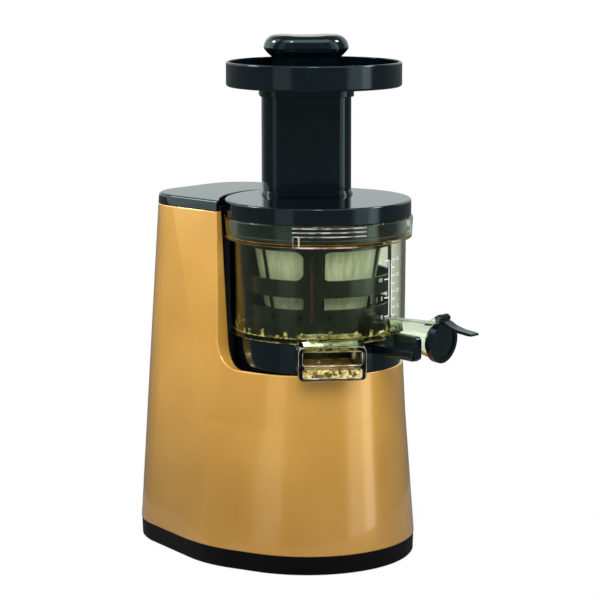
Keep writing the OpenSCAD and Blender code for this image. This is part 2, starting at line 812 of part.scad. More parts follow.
module gear_one() {
    color(grey_plastic) seat() translate([first_at[0], first_at[1], box_z + 4]) difference() {
        union() {
            turn(turn_one + 180 / wheel_one) spur_gear(stage_module[0], wheel_one, 6.5);
            translate([0, 0, 6]) turn(turn_two + 180) spur_gear(stage_module[1], pinion_two, 11);
        }
        translate([0, 0, -over]) cylinder(r = axle_one_r + running, h = 30);
    }
}

module gear_two() {
    color(grey_plastic) seat() translate([second_at[0], second_at[1], box_z + 12]) difference() {
        union() {
            turn(turn_two + 180 / wheel_two) spur_gear(stage_module[1], wheel_two, 8);
            translate([0, 0, 7.5]) turn(turn_three + 180 + 180 / pinion_three)
                spur_gear(stage_module[2], pinion_three, 17);
        }
        translate([0, 0, -over]) cylinder(r = axle_two_r + running, h = 30);
    }
}

module motor_pinion() {
    color(steel) seat() translate([motor_at[0], motor_at[1], box_z + 3.5]) difference() {
        turn(turn_one + 180) spur_gear(stage_module[0], pinion_one, 7.5);
        translate([0, 0, -over]) cylinder(r = motor_shaft_r, h = 20);
    }
}

module motor_shaft() {
    color(steel) seat() translate([motor_at[0], motor_at[1], 9]) cylinder(r = motor_shaft_r, h = box_z + 11 - 9);
}

module rotor_core() {
    color("#77797C") seat() translate([motor_at[0], motor_at[1], stator_z - 1]) difference() {
        ring(rotor_r, motor_shaft_r, stator_h + 2);
        for (a = [0:60:300]) turn(a) translate([14, 0, -over]) cylinder(r = 3.5, h = 40);
    }
}

module cooling_fan() {
    color(dark_plastic) seat() translate([motor_at[0], motor_at[1], 9]) {
        ring(33, motor_shaft_r, 1.6);
        translate([0, 0, 1]) ring(9, motor_shaft_r, 9);
        for (a = [0:40:320]) turn(a) translate([8, 0, 1]) rotate([0, 0, 12]) cube([24, 1.6, 8.5]);
    }
}

// ----------------------------------------------------------------------- bowl

// the chute's own frame: -Y runs out along the chute
module chute_body() {
    mouth = chute_reach - chute_wall;
    rotate([90, 0, -90]) linear_extrude(height = chute_w - 1.6, center = true)
        polygon([
            [16, chute_low + 0.6], [mouth, chute_low + 0.6], [mouth, chute_top - 0.6],
            [bowl_r - 1, chute_top + chute_rise], [bowl_r - 1, floor_z + 0.5], [16, floor_z + 0.5],
        ]);
    translate([0, -mouth, (chute_low + chute_top) / 2]) rotate([90, 0, 0])
        linear_extrude(height = chute_wall) soft_rect(chute_w, chute_h, 4.5);
}

module chute_hollow() {
    roof = chute_top - 3.8;
    sill = chute_low + 12;
    inner = chute_w - 2 * chute_wall - 4;
    translate([-inner / 2, -chute_reach + chute_wall, chute_low + 3]) cube([inner, chute_reach - 20, roof - chute_low - 3]);
    translate([-inner / 2 - 1, -chute_reach - over, sill]) cube([inner + 2, chute_wall + 2 * over, roof - sill]);
    // shallow pocket under the cross bar
    translate([-inner / 2 - 1, -chute_reach - over, chute_low + 2.6]) cube([inner + 2, over + 1.2, sill - 3.4 - chute_low - 2.6]);
}

// local frame at the spout's mouth: z out of the mouth, y up
module at_mouth() {
    translate([0, -spout_reach, floor_z + mouth_rise]) rotate([90 + spout_tilt, 0, 0]) children();
}

hinge_y = mouth_r + 3.4;
hinge_z = 2;

module spout_cone(inset, extra = 0) {
    translate([0, 0, -spout_len - extra])
        cylinder(r1 = root_r - inset, r2 = mouth_r - inset, h = spout_len + extra);
}

// sector of a ring, centred on the front
module sector(r_in, r_out, h, half) {
    rotate([0, 0, -90 - half]) rotate_extrude(angle = 2 * half) translate([r_in, 0]) square([r_out - r_in, h]);
}

lever_pivot = 57;
lever_pin_r = 2;
plug_along = 50;

// cup that holds the juicing set
module bowl() {
    color(smoky) seat() difference() {
        union() {
            difference() {
                translate([0, 0, floor_z]) cylinder(r = bowl_r, h = bowl_h);
                translate([0, 0, floor_top]) cylinder(r = bowl_r - bowl_wall, h = bowl_h + over);
            }
            // centre boss, idler boss, and the collar round the pulp hole
            translate([0, 0, floor_z - 6]) cylinder(r = 13, h = 6 + floor_t - 0.5);
            turn(idler_angle + 90) translate([0, -idler_at, floor_z + 0.5]) cylinder(r = 6, h = floor_t + 0.7);
            turn(chute_angle) translate([0, 0, floor_z + 1])
                sector(pulp_r_in - 1.6, pulp_r_out + 1.8, strainer_z - 1.7 - floor_z, pulp_half_angle + 3);
            // seat for the lever's pin
            turn(lever_angle) translate([0, -lever_pivot, floor_z - 1]) cylinder(r = 3.6, h = 2);
        }
        turn(chute_angle) translate([0, 0, floor_z - 2]) sector(pulp_r_in, pulp_r_out, 40, pulp_half_angle);
        translate([0, 0, floor_z - 7]) cylinder(r = 10, h = 20);
        turn(idler_angle + 90) translate([0, -idler_at, floor_z + 1]) cylinder(r = idler_pin_r, h = 20);
        at_mouth() spout_cone(spout_wall, 4);
        turn(lever_angle) translate([0, -lever_pivot, floor_z - 2]) cylinder(r = lever_pin_r, h = 4);
    }
}

// wide rim welded on the cup: a shelf for the strainer and a socket for the lid
module bowl_rim() {
    color(smoky) seat() {
        difference() {
            union() {
                translate([0, 0, step_z]) cylinder(r1 = rim_r - 1, r2 = rim_r, h = 1);
                translate([0, 0, step_z + 1]) cylinder(r = rim_r, h = rim_h - 1);
                // ribbed grip on the rim's front
                turn(chute_angle) translate([0, 0, step_z + 0.4]) {
                    for (z = [8, 11.1, 14.2]) translate([0, 0, z]) sector(rim_r - 0.5, rim_r + 2, 1.2, grip_angle);
                    sector(rim_r - 0.5, rim_r + 2, 1.4, grip_angle - 2);
                    for (a = [-grip_angle + 0.5, -grip_angle + 4]) turn(a) translate([-0.6, -rim_r - 2, 0.2]) cube([1.2, 2.4, 8.2]);
                }
            }
            translate([0, 0, step_z - over]) cylinder(r = bowl_r - bowl_wall, h = 20);
            translate([0, 0, shelf_z]) cylinder(r = rim_r - rim_wall, h = 40);
        }
        // bayonet ramps inside the rim
        for (a = [0:90:270]) turn(a + 45) translate([0, 0, shelf_z + 7])
            sector(rim_r - rim_wall - 1.9, rim_r - 0.5, 3, 11);
    }
}

// trough under the cup's floor that lets the pulp out
module pulp_chute() {
    color(smoky) seat() difference() {
        turn(chute_angle) chute_body();
        translate([0, 0, floor_z]) cylinder(r = bowl_r, h = body_h);
        turn(chute_angle) chute_hollow();
        turn(chute_angle) translate([-chute_w / 2 + 4.5, -60, floor_z - 2]) cube([chute_w - 9, 42.5, 4]);
        turn(chute_angle) translate([chute_w / 2 - 6, -plug_along, chute_low + 13]) rotate([0, 90, 0]) cylinder(r = 4, h = 10);
    }
}

module juice_spout() {
    color(smoky) seat() difference() {
        union() {
            at_mouth() spout_cone(0, 2);
            // ears for the cap's pin
            at_mouth() for (x = [-1, 1]) translate([x * 6.2, 0, 0]) rotate([90, 0, 90])
                linear_extrude(height = 2.2, center = true) {
                    polygon([
                        [mouth_r - 4, -9], [mouth_r - 2.6, -9], [hinge_y + 2.1, hinge_z - 1],
                        [hinge_y - 1.8, hinge_z + 1.4], [mouth_r + 1.4, -0.3], [mouth_r - 1.5, -0.3],
                    ]);
                    translate([hinge_y, hinge_z]) circle(r = 2.4);
                }
        }
        cylinder(r = bowl_r, h = body_h);
        at_mouth() spout_cone(spout_wall, 4);
        at_mouth() translate([-10, hinge_y, hinge_z]) rotate([0, 90, 0]) cylinder(r = 1.5, h = 20);
    }
}

module bowl_skirt() {
    color(gloss_black) seat() difference() {
        translate([0, 0, ledge_z]) ring(skirt_r, skirt_r - skirt_wall, skirt_h);
        turn(chute_angle) translate([-chute_w / 2 + 0.8, -100, ledge_z - over]) cube([chute_w - 1.6, 100, 40]);
        turn(lever_angle) translate([-8.5, -80, floor_z - 8.2]) cube([13, 30, 20]);
    }
}

module bowl_seal() {
    color(rubber) seat() translate([0, 0, floor_z - 6]) {
        ring(10, hex_af / 2 / cos(30) + 0.6, 8.3);
    }
}

module idler_pin() {
    color(steel) seat() turn(idler_angle + 90) translate([0, -idler_at, floor_z + 1])
        cylinder(r = idler_pin_r, h = bowl_gear_z + bowl_gear_h + 1 - floor_z - 1);
}

// a cone's wall between two heights, standing on radius r0 and ending on r1
module cone_wall(z0, z1, r0, r1, t) {
    translate([0, 0, z0]) difference() {
        cylinder(r1 = r0, r2 = r1, h = z1 - z0);
        slope = (r1 - r0) / (z1 - z0);
        translate([0, 0, -over])
            cylinder(r1 = r0 - t - slope * over, r2 = r1 - t + slope * over, h = z1 - z0 + 2 * over);
    }
}

screen_t = 0.8;
screen_low = strainer_z + 9;
screen_high = strainer_top - 9;

module strainer_frame() {
    color(dark_plastic) seat() difference() {
        union() {
            translate([0, 0, strainer_z]) cylinder(r = strainer_r(strainer_z), h = strainer_floor_t);
            cone_wall(strainer_z, screen_low, strainer_r(strainer_z), strainer_r(screen_low), 2);
            cone_wall(screen_high, strainer_top, strainer_r(screen_high), strainer_r(strainer_top), 2);
            difference() {
                translate([0, 0, shelf_z]) cylinder(r = rim_r - rim_wall - 0.3, h = strainer_top - shelf_z);
                translate([0, 0, shelf_z - over]) cylinder(r = strainer_r(strainer_top) - 1.5, h = 10);
            }
            // ribs that hold the screen from outside
            for (a = [0:60:300]) turn(a + 15) intersection() {
                cone_wall(screen_low - 1, screen_high + 1, strainer_r(screen_low - 1) + 1, strainer_r(screen_high + 1) + 1, 1.6);
                translate([-1, -80, 0]) cube([2, 80, body_h]);
            }
        }
        translate([0, 0, strainer_z - over]) cylinder(r = sun_hole_r, h = 10);
        turn(chute_angle) translate([0, 0, strainer_z - over]) sector(pulp_r_in, pulp_r_out, 10, pulp_half_angle);
        // notches in the flange that key the strainer to the bowl
        for (a = [0, 180]) turn(a) translate([-3, -rim_r, shelf_z - over]) cube([6, 4, 10]);
    }
}

module strainer_screen() {
    color("#B9BFB4") seat()
        cone_wall(screen_low, screen_high, strainer_r(screen_low) - 0.6, strainer_r(screen_high) - 0.6, screen_t);
}

module pulp_plug() {
    color("#C9C2A8") seat() turn(chute_angle) translate([chute_w / 2 - 5.6, -plug_along, chute_low + 13]) rotate([0, 90, 0]) {
        cylinder(r = 3.95, h = 4.8);
        translate([0, 0, 4.8]) cylinder(r1 = 5, r2 = 4, h = 1.8);
    }
}

module lever_pin() {
    color(steel) seat() turn(lever_angle) translate([0, -lever_pivot, floor_z - 12]) {
        cylinder(r = lever_pin_r, h = 13.8);
        cylinder(r = 3.4, h = 1.4);
    }
}

module cap_pin() {
    color(steel) seat() at_mouth() translate([-7.3, hinge_y, hinge_z]) rotate([0, 90, 0]) cylinder(r = 1.5, h = 14.6);
}

module control_lever() {
    low = floor_z - 8;
    arm_top = floor_z - 1.3;
    tip = lever_reach - lever_pivot;
    color(gloss_black) seat() turn(lever_angle) translate([0, -lever_pivot, 0]) difference() {
        union() {
            translate([0, 0, low]) cylinder(r = 4.2, h = arm_top - low);
            translate([-3, -tip + 4, low]) cube([6, tip - 4, arm_top - low]);
            translate([-1.6, 0, low]) cube([3.2, 7.5, arm_top - low]);
            // paddle with rounded corners
            translate([0, -tip + paddle_len / 2, low + 2.5 + paddle_h / 2 - 1.5]) rotate([90, 0, 90])
                linear_extrude(height = lever_t, center = true) soft_rect(paddle_len, paddle_h, 3.2);
        }
        translate([0, 0, low - over]) cylinder(r = lever_pin_r + running, h = 20);
    }
}

module juice_cap() {
    color(smoky) seat() at_mouth() translate([0, 0, 0.3]) cylinder(r = mouth_r - 1.6, h = 4);
}

module cap_seal() {
    color(rubber) seat() at_mouth() translate([0, 0, -3.7]) {
        difference() {
            cylinder(r1 = mouth_r - spout_wall - 1.2, r2 = mouth_r - spout_wall - 0.5, h = 4);
            translate([0, 0, -over]) cylinder(r = mouth_r - spout_wall - 3.5, h = 3 + over);
        }
    }
}

module cap_lever() {
    color(gloss_black) seat() at_mouth() difference() {
        union() {
            translate([0, 0, 0.3]) ring(mouth_r + 1.6, mouth_r - 1.6, 5);
            // knuckle on the pin, and the arm down to the ring
            translate([-4.7, hinge_y, hinge_z]) rotate([0, 90, 0]) cylinder(r = 3.1, h = 9.4);
            translate([-4.7, mouth_r - 1, 0.4]) cube([9.4, 3.6, 4.8]);
            // thumb tab
            rotate([90, 0, 90]) linear_extrude(height = 9, center = true)
                polygon([[mouth_r - 0.6, 4.5], [mouth_r, 7], [11.6, 12], [10.4, 20], [10.2, 5 + tab_len - 3],
                         [10.6, 5 + tab_len], [12, 5 + tab_len - 0.2], [12.4, 5 + tab_len - 3], [12.6, 20], [14, 12],
                         [mouth_r + 2, 7], [mouth_r + 2, 4.5]]);
        }
        translate([-6, hinge_y, hinge_z]) rotate([0, 90, 0]) cylinder(r = 1.5 + running, h = 12);
    }
}

// ---------------------------------------------------------------- juicing set

module brush_window(z0, z1, corner) {
    for (a = [0:90:270]) turn(a + chute_angle + 34) translate([0, 0, (z0 + z1) / 2]) rotate([90, 0, 0])
        linear_extrude(height = 80) soft_rect(69, z1 - z0, corner);
}

module brush_frame() {
    low = floor_top + 0.7;
    high = strainer_top - 6;
    ring_z = bowl_gear_z + bowl_gear_h;
    color(dark_plastic) seat() difference() {
        union() {
            translate([0, 0, low]) ring(brush_r, 30, ring_z + 0.4 - low);
            translate([0, 0, ring_z - over]) ring(brush_r, brush_r - brush_wall, high - ring_z + over);
        }
        translate([0, 0, low - over]) turn(idler_angle + 180 / ring_teeth) linear_extrude(height = 20)
            gear_outline(bowl_module, ring_teeth, slack = -0.18, tip = 1.25, root = 0.8);
        intersection() {
            ring(brush_r + 1, brush_r - brush_wall - 1, body_h);
            union() {
                brush_window(ring_z + 14.5, ring_z + 23.5, 2);
                brush_window(ring_z + 36.3, high - 3, 6);
                // low slots that let the juice out
                for (a = [0:22.5:337.5]) turn(a + 4) translate([-2, -80, ring_z + 6]) cube([4, 80, 5]);
            }
        }
        for (a = [0, 180]) turn(a + chute_angle - 11) wiper(0);
    }
}

// blade that passes through a post: inner edge on the strainer, outer on the bowl
module wiper(g = 0) {
    low = bowl_gear_z + bowl_gear_h + 4;
    high = strainer_top - 10;
    gap = 0.5;
    rotate([90, 0, -90]) linear_extrude(height = 2.4, center = true)
        polygon([
            [strainer_r(low) + 1.2 + gap, low], [bowl_r - bowl_wall - gap, low + 2],
            [bowl_r - bowl_wall - gap, high - 2], [strainer_r(high) + 1.2 + gap, high],
        ]);
}

module brush_wipers() {
    color("#8B8E86") seat() for (a = [0, 180]) turn(a + chute_angle - 11) wiper(0);
}

module idler_gear() {
    color(grey_plastic) seat() turn(idler_angle) translate([idler_at, 0, bowl_gear_z]) difference() {
        turn(180 + 180 / idler_teeth) spur_gear(bowl_module, idler_teeth, bowl_gear_h);
        translate([0, 0, -over]) cylinder(r = idler_pin_r + running, h = 20);
    }
}

auger_z = strainer_z + strainer_floor_t + 0.8;
auger_top = strainer_top - 2;

// one flight: a thin blade that winds up the core and widens with the strainer
module flight(start, height, turns, r_in, thick) {
    r_low = strainer_r(auger_z) - 2 - 0.9;
    r_high = strainer_r(auger_z + height) - 2 - 0.9;
    translate([0, 0, auger_z]) turn(start)
        linear_extrude(
            height = height, twist = -360 * turns, scale = r_high / r_low, slices = ceil(48 * turns), $fn = 8)
            polygon([[r_in, -thick], [r_low - 1.5, -thick * 0.5], [r_low, 0], [r_low - 1.5, thick * 0.5], [r_in, thick]]);
}

module auger() {
    socket = hex_af / 2 / cos(30) + play + 0.1;
    top_h = auger_top - auger_z;
    color("#4B443C") seat() difference() {
        union() {
            translate([0, 0, bowl_gear_z]) turn(idler_angle) linear_extrude(height = bowl_gear_h)
                gear_outline(bowl_module, sun_teeth);
            translate([0, 0, bowl_gear_z + bowl_gear_h - 0.5]) cylinder(r = 12, h = auger_z - bowl_gear_z - bowl_gear_h + 1);
            translate([0, 0, auger_z]) cylinder(r1 = core_r_low, r2 = core_r_high, h = top_h);
            translate([0, 0, auger_top]) cylinder(r1 = core_r_high, r2 = 5, h = 5);
            translate([0, 0, auger_top + 4]) cylinder(r = 5, h = lid_top - lid_plate - 3.4 - auger_top - 4);
            for (a = [0, 180]) flight(a, top_h - 2, flight_turns, core_r_high - 5, 3);
            // short squeezing ribs between the flights' feet
            for (a = [30:60:330]) flight(a, 14, 0.14, core_r_low - 4, 2);
        }
        translate([0, 0, bowl_gear_z - over]) cylinder(r = socket, h = 22, $fn = 6);
        translate([0, 0, bowl_gear_z + 19]) cylinder(r = 6.5, h = 6);
    }
}

// ------------------------------------------------------------- lid, tray, pusher

// the feed tube's own frame: -Y is the side that the tube faces
module at_tube() {
    turn(tube_angle) translate([tube_side, tube_back, 0]) children();
}

module tube_bore(z0, z1, inset) {
    at_tube() translate([0, 0, z0]) linear_extrude(height = z1 - z0)
        soft_rect(tube_w - 2 * inset, tube_d - 2 * inset, tube_corner - inset);
}

sleeve_r = rim_r - rim_wall - 2.2;

module lid() {
    plate_low = lid_top - lid_plate;
    color(gloss_black) seat() difference() {
        union() {
            rotate_extrude() polygon(concat(
                [[0, lid_z], [lid_r - 0.5, lid_z], [lid_r, lid_z + 0.5]],
                [for (a = [0:15:90]) [lid_r - 1.6, lid_top - 1.6] + polar(1.6, a)],
                [[0, lid_top]]));
            translate([0, 0, shelf_z + 3.4]) cylinder(r = sleeve_r, h = lid_z - shelf_z);
            for (a = [0:90:270]) turn(a + 45) translate([0, 0, shelf_z + 3.6]) sector(sleeve_r - 1, rim_r - rim_wall - 0.3, 3, 10);
            tube_bore(lid_top - 1, tube_top, 0);
            // bead round the foot of the tube
            for (i = [0:2]) tube_bore(lid_top - 1, lid_top + [0.9, 1.9, 2.6][i], [-1.4, -1, -0.5][i]);
        }
        difference() {
            translate([0, 0, shelf_z]) cylinder(r = sleeve_r - 2, h = plate_low - shelf_z);
            // boss that holds the auger's journal, tied to the plate
            translate([0, 0, plate_low - 11]) cylinder(r = 8.5, h = 20);
        }
        translate([0, 0, plate_low - 20]) cylinder(r = 5 + play, h = 20 - 3);
        // mouth of the tube over the strainer
        intersection() {
            tube_bore(plate_low - over, lid_top, tube_wall);
            cylinder(r = 47, h = body_h + 50);
        }
        tube_bore(lid_top - 0.5, tube_top + over, tube_wall);
        translate([0, 59, plate_low - over]) cylinder(r = 3, h = 3.2);
    }
}

module lid_seal() {
    low = strainer_top + 0.3;
    color("#3B3B3B") seat() difference() {
        translate([0, 0, low]) ring(sleeve_r - 2, sleeve_r - 5.5, 6);
        translate([0, 0, low + 1.5]) ring(sleeve_r - 2 + over, sleeve_r - 3, 1.5);
    }
}

module lid_magnet() {
    color(steel) seat() translate([0, 59, lid_top - lid_plate - 0.8]) cylinder(r = 3, h = 3);
}

module hopper_tray() {
    color(gloss_black) seat() difference() {
        union() {
            turn(tube_angle) translate([tray_side, 0, 0]) rotate_extrude() polygon(concat(
                [[0, tray_z], [tray_r - tray_edge, tray_z]],
                [for (a = [-75:15:0]) [tray_r - tray_edge, tray_z + tray_edge] + polar(tray_edge, a)],
                [[tray_r, tray_top - 0.8], [tray_r - 0.7, tray_top], [tray_r - tray_wall + 0.3, tray_top],
                 [tray_r - tray_wall, tray_top - 0.8]],
                [for (a = [0:-30:-90]) [tray_r - tray_wall - 2, tray_floor + 2] + polar(2, a)],
                [[0, tray_floor]]));
            // socket round the top of the feed tube
            tube_bore(tray_z - 10, tray_z + 1, -play - 1.8);
        }
        tube_bore(tray_z - 10 - over, tray_z, -play);
        tube_bore(tray_z - over, tray_floor + over, tube_wall);
    }
}

module pusher_shaft() {
    gap = 0.7;
    color(gloss_black) seat() difference() {
        tube_bore(flange_z - pusher_len, flange_z, tube_wall + gap);
        tube_bore(flange_z - pusher_len + 2.5, flange_z + over, tube_wall + gap + 2.2);
    }
}

// an oblong slice of the pusher's knob, w by d with round ends
module knob_slice(z, inset) {
    translate([0, 0, z]) linear_extrude(height = skin)
        soft_rect(knob_w - 2 * inset, knob_d - 2 * inset, (knob_d - 2 * inset) / 2 - 2, $fn = hull_fn);
}

module pusher_head() {
    wide_z = neck_z + 0.45 * knob_h;
    neck_d = neck_w - (knob_w - knob_d);
    color(gloss_black) seat() at_tube() difference() {
        union() {
            translate([0, 0, flange_z]) linear_extrude(height = flange_t) soft_rect(tube_w - 2, tube_d - 3, tube_corner + 1);
            translate([0, 0, flange_z + flange_t - 0.5]) linear_extrude(height = neck_z - flange_z - flange_t + 3)
                soft_rect(neck_w, neck_d, neck_d / 2 - 2);
            hull() {
                for (a = [0:15:90]) {
                    knob_slice(wide_z + (knob_top - skin - wide_z) * sin(a), 8 * (1 - cos(a)));
                    knob_slice(wide_z - (wide_z - neck_z) * sin(a), (knob_w - neck_w) / 2 * (1 - cos(a)));
                }
            }
        }
        // shallow saddle across the top
        translate([0, 0, knob_top + 150 - 0.8]) rotate([90, 0, 0]) cylinder(r = 150, h = 100, center = true, $fn = 200);
    }
}

base_cover();
rubber_feet();
body_shell();
rear_cap();
bowl_cradle();
gearbox_housing();
gearbox_cover();
gear_axles();
shaft_bearings();
shaft_seal();
motor_housing();
motor_end_bell();
motor_bearings();
stator_core();
stator_windings();
control_board();
capacitor();
lid_sensor();
switch_housing();
cord_gland();
base_screws();
gearbox_screws();
motor_screws();
drive_shaft();
output_gear();
gear_one();
gear_two();
motor_shaft();
rotor_core();
motor_pinion();
cooling_fan();
switch_rocker();
bowl();
bowl_rim();
pulp_chute();
juice_spout();
bowl_skirt();
bowl_seal();
idler_pin();
strainer_frame();
strainer_screen();
pulp_plug();
lever_pin();
cap_pin();
control_lever();
juice_cap();
cap_lever();
cap_seal();
brush_frame();
brush_wipers();
idler_gear();
auger();
lid();
lid_seal();
lid_magnet();
hopper_tray();
pusher_shaft();
pusher_head();
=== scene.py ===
"""Cold press juicer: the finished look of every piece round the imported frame.

Metres, +Z up, and the front with the juice spout looks along -Y. New pieces are drawn in
millimetres with the bowl axis at x = 0, y = 0, and TO_FRAME moves them into the frame.
"""

import json
import math

import bmesh
import bpy
from mathutils import Matrix, Vector

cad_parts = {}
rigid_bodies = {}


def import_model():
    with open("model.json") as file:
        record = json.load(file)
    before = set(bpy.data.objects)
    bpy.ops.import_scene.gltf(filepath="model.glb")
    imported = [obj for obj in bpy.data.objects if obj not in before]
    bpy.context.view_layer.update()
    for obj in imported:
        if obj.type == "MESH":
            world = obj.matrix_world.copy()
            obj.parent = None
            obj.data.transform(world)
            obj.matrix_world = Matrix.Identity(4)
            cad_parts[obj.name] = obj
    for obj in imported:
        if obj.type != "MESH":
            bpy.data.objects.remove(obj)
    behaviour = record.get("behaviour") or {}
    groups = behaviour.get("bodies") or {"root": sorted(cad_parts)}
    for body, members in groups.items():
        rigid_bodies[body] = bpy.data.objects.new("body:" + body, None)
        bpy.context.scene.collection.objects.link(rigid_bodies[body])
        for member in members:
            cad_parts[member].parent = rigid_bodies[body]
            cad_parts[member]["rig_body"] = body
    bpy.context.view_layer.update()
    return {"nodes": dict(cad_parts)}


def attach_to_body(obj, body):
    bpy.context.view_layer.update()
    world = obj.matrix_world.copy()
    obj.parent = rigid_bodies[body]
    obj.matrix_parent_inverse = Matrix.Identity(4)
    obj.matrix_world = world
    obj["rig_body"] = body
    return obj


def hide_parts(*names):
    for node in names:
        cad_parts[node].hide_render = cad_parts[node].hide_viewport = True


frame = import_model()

scene = bpy.context.scene
MM = 0.001
AXIS_Y = -4.585306  # the bowl axis in the frame, mm
TO_FRAME = Matrix.Translation((0, AXIS_Y * MM, 0)) @ Matrix.Scale(MM, 4)


# ---------------------------------------------------------------- camera

VIEW = -50.0  # azimuth of the camera, counted from the front, degrees
VIEW_RISE = 9.4  # its elevation, degrees
VIEW_DISTANCE = 1.7775
VIEW_AIM = Vector((0, AXIS_Y * MM, 0.1971))
VIEW_SHIFT = -0.03  # share of the picture's width
SENSOR_MM = 36.0
LENS_MM = 139.2


def aim(thing, target, azimuth, elevation, distance):
    """Stands a camera or lamp off a target, turned towards it. Angles in degrees."""
    a, e = math.radians(azimuth), math.radians(elevation)
    back = Vector((math.sin(a) * math.cos(e), -math.cos(a) * math.cos(e), math.sin(e)))
    thing.location = target + back * distance
    thing.rotation_mode = "QUATERNION"
    thing.rotation_quaternion = (-back).to_track_quat("-Z", "Y")
    scene.collection.objects.link(thing)


def make_camera():
    data = bpy.data.cameras.new("product_camera")
    data.sensor_width = SENSOR_MM
    data.lens = LENS_MM
    data.shift_x = VIEW_SHIFT
    data.clip_start = 0.05
    data.clip_end = 20.0
    scene.camera = bpy.data.objects.new("product_camera", data)
    aim(scene.camera, VIEW_AIM, VIEW, VIEW_RISE, VIEW_DISTANCE)


make_camera()
scene.view_settings.view_transform = "Standard"


# ---------------------------------------------------------------- materials

def linear(code):
    """An sRGB hex colour as linear red, green, blue and alpha."""
    parts = [int(code[i:i + 2], 16) / 255 for i in (1, 3, 5)]
    return tuple(c / 12.92 if c <= 0.04045 else ((c + 0.055) / 1.055) ** 2.4 for c in parts) + (1.0,)


def add(tree, kind, inputs=None, stops=(), **settings):
    """Adds one node. inputs holds a value or an output to link for each socket name, and stops
    the place and hex colour of each stop of a colour ramp."""
    node = tree.nodes.new(kind)
    for name, value in settings.items():
        setattr(node, name, value)
    for socket, value in (inputs or {}).items():
        if isinstance(value, bpy.types.NodeSocket):
            tree.links.new(value, node.inputs[socket])
        else:
            node.inputs[socket].default_value = value
    for k, (place, code) in enumerate(stops):
        node.color_ramp.elements[k].position = place
        node.color_ramp.elements[k].color = linear(code)
    return node


def new_material(name):
    material = bpy.data.materials.new(name)
    material.use_nodes = True
    material.node_tree.nodes.clear()
    return material, material.node_tree


def surface(tree, shader):
    add(tree, "ShaderNodeOutputMaterial", {"Surface": shader})


def scaled_place(tree, size_mm, stretch=(1, 1, 1)):
    """Object coordinates in units of size_mm."""
    place = add(tree, "ShaderNodeTexCoord")
    unit = 1 / (size_mm * MM)
    return add(tree, "ShaderNodeMapping", {
        "Vector": place.outputs["Object"], "Scale": tuple(unit * s for s in stretch)}).outputs["Vector"]


def pearl_gold_lacquer():
    """Gold mica lacquer on moulded ABS under a clear coat: the mica gives a soft, directed glow
    and the coat a wet reflection on top of it."""
    material, tree = new_material("pearl_gold_lacquer")
    # mica flakes are about 0.05 mm; drawn at 0.5 mm, the finest that still shows
    flakes = add(tree, "ShaderNodeTexVoronoi", {"Vector": scaled_place(tree, 0.5), "Scale": 1.0})
    # the sprayed coat is thicker in some places than in others, over some 70 mm
    cloud = add(tree, "ShaderNodeTexNoise", {"Vector": scaled_place(tree, 70), "Scale": 1.0, "Detail": 1.0})
    tone = add(tree, "ShaderNodeMapRange", {
        "Value": flakes.outputs["Distance"], "From Max": 0.9, "To Min": -0.12, "To Max": 0.12})
    blend = add(tree, "ShaderNodeMath", {0: tone.outputs[0], 1: cloud.outputs["Fac"]}, operation="ADD")
    ramp = add(tree, "ShaderNodeValToRGB", {"Fac": blend.outputs[0]},
               stops=((0.05, "#E2A344"), (0.95, "#F6BC5A")))
    ramp.color_ramp.interpolation = "EASE"
    # orange peel of the sprayed coat, about 3 mm from crest to crest
    peel = add(tree, "ShaderNodeTexNoise", {"Vector": scaled_place(tree, 3.0), "Scale": 1.0, "Detail": 1.0})
    bump = add(tree, "ShaderNodeBump", {
        "Height": peel.outputs["Fac"], "Strength": 0.02, "Distance": 0.3 * MM})
    rough = add(tree, "ShaderNodeMapRange", {
        "Value": cloud.outputs["Fac"], "To Min": 0.24, "To Max": 0.36})
    # painted shade: from 170 mm down to 20 mm the gold's colour gets darker, so that the lower body looks
    # less lit
    spot = add(tree, "ShaderNodeTexCoord")
    height = add(tree, "ShaderNodeSeparateXYZ", {"Vector": spot.outputs["Object"]})
    cover = add(tree, "ShaderNodeMapRange", {
        "Value": height.outputs["Z"], "From Min": 20 * MM, "From Max": 170 * MM,
        "To Min": 0.74, "To Max": 1.08}, interpolation_type="SMOOTHSTEP")
    colour = add(tree, "ShaderNodeVectorMath", {
        0: ramp.outputs["Color"], "Scale": cover.outputs["Result"]}, operation="SCALE")
    shader = add(tree, "ShaderNodeBsdfPrincipled", {
        "Base Color": colour.outputs["Vector"], "Metallic": 0.5, "Roughness": rough.outputs["Result"],
        "Coat Weight": 1.0, "Coat IOR": 1.7, "Coat Roughness": 0.05, "Coat Normal": bump.outputs["Normal"]})
    surface(tree, shader.outputs["BSDF"])
    return material


def moulded(name, code, second, roughness, spread, grain_mm, height_mm, shine=0.5, cast="#FFFFFF"):
    """A moulded plastic or rubber: two near tones, uneven polish and the mould's fine grain.
    cast tints its reflection."""
    material, tree = new_material(name)
    # tone and polish change slowly, over some 9 mm
    cloud = add(tree, "ShaderNodeTexNoise", {"Vector": scaled_place(tree, 9), "Scale": 1.0, "Detail": 4.0})
    ramp = add(tree, "ShaderNodeValToRGB", {"Fac": cloud.outputs["Fac"]}, stops=((0.3, code), (0.75, second)))
    grain = add(tree, "ShaderNodeTexNoise", {
        "Vector": scaled_place(tree, grain_mm), "Scale": 1.0, "Detail": 2.0})
    rough = add(tree, "ShaderNodeMapRange", {
        "Value": cloud.outputs["Fac"], "From Min": 0.3, "From Max": 0.7,
        "To Min": roughness, "To Max": roughness + spread})
    bump = add(tree, "ShaderNodeBump", {
        "Height": grain.outputs["Fac"], "Strength": 0.35, "Distance": height_mm * MM})
    shader = add(tree, "ShaderNodeBsdfPrincipled", {
        "Base Color": ramp.outputs["Color"], "Roughness": rough.outputs["Result"],
        "Normal": bump.outputs["Normal"], "Specular IOR Level": shine, "Specular Tint": linear(cast)})
    surface(tree, shader.outputs["BSDF"])
    return material


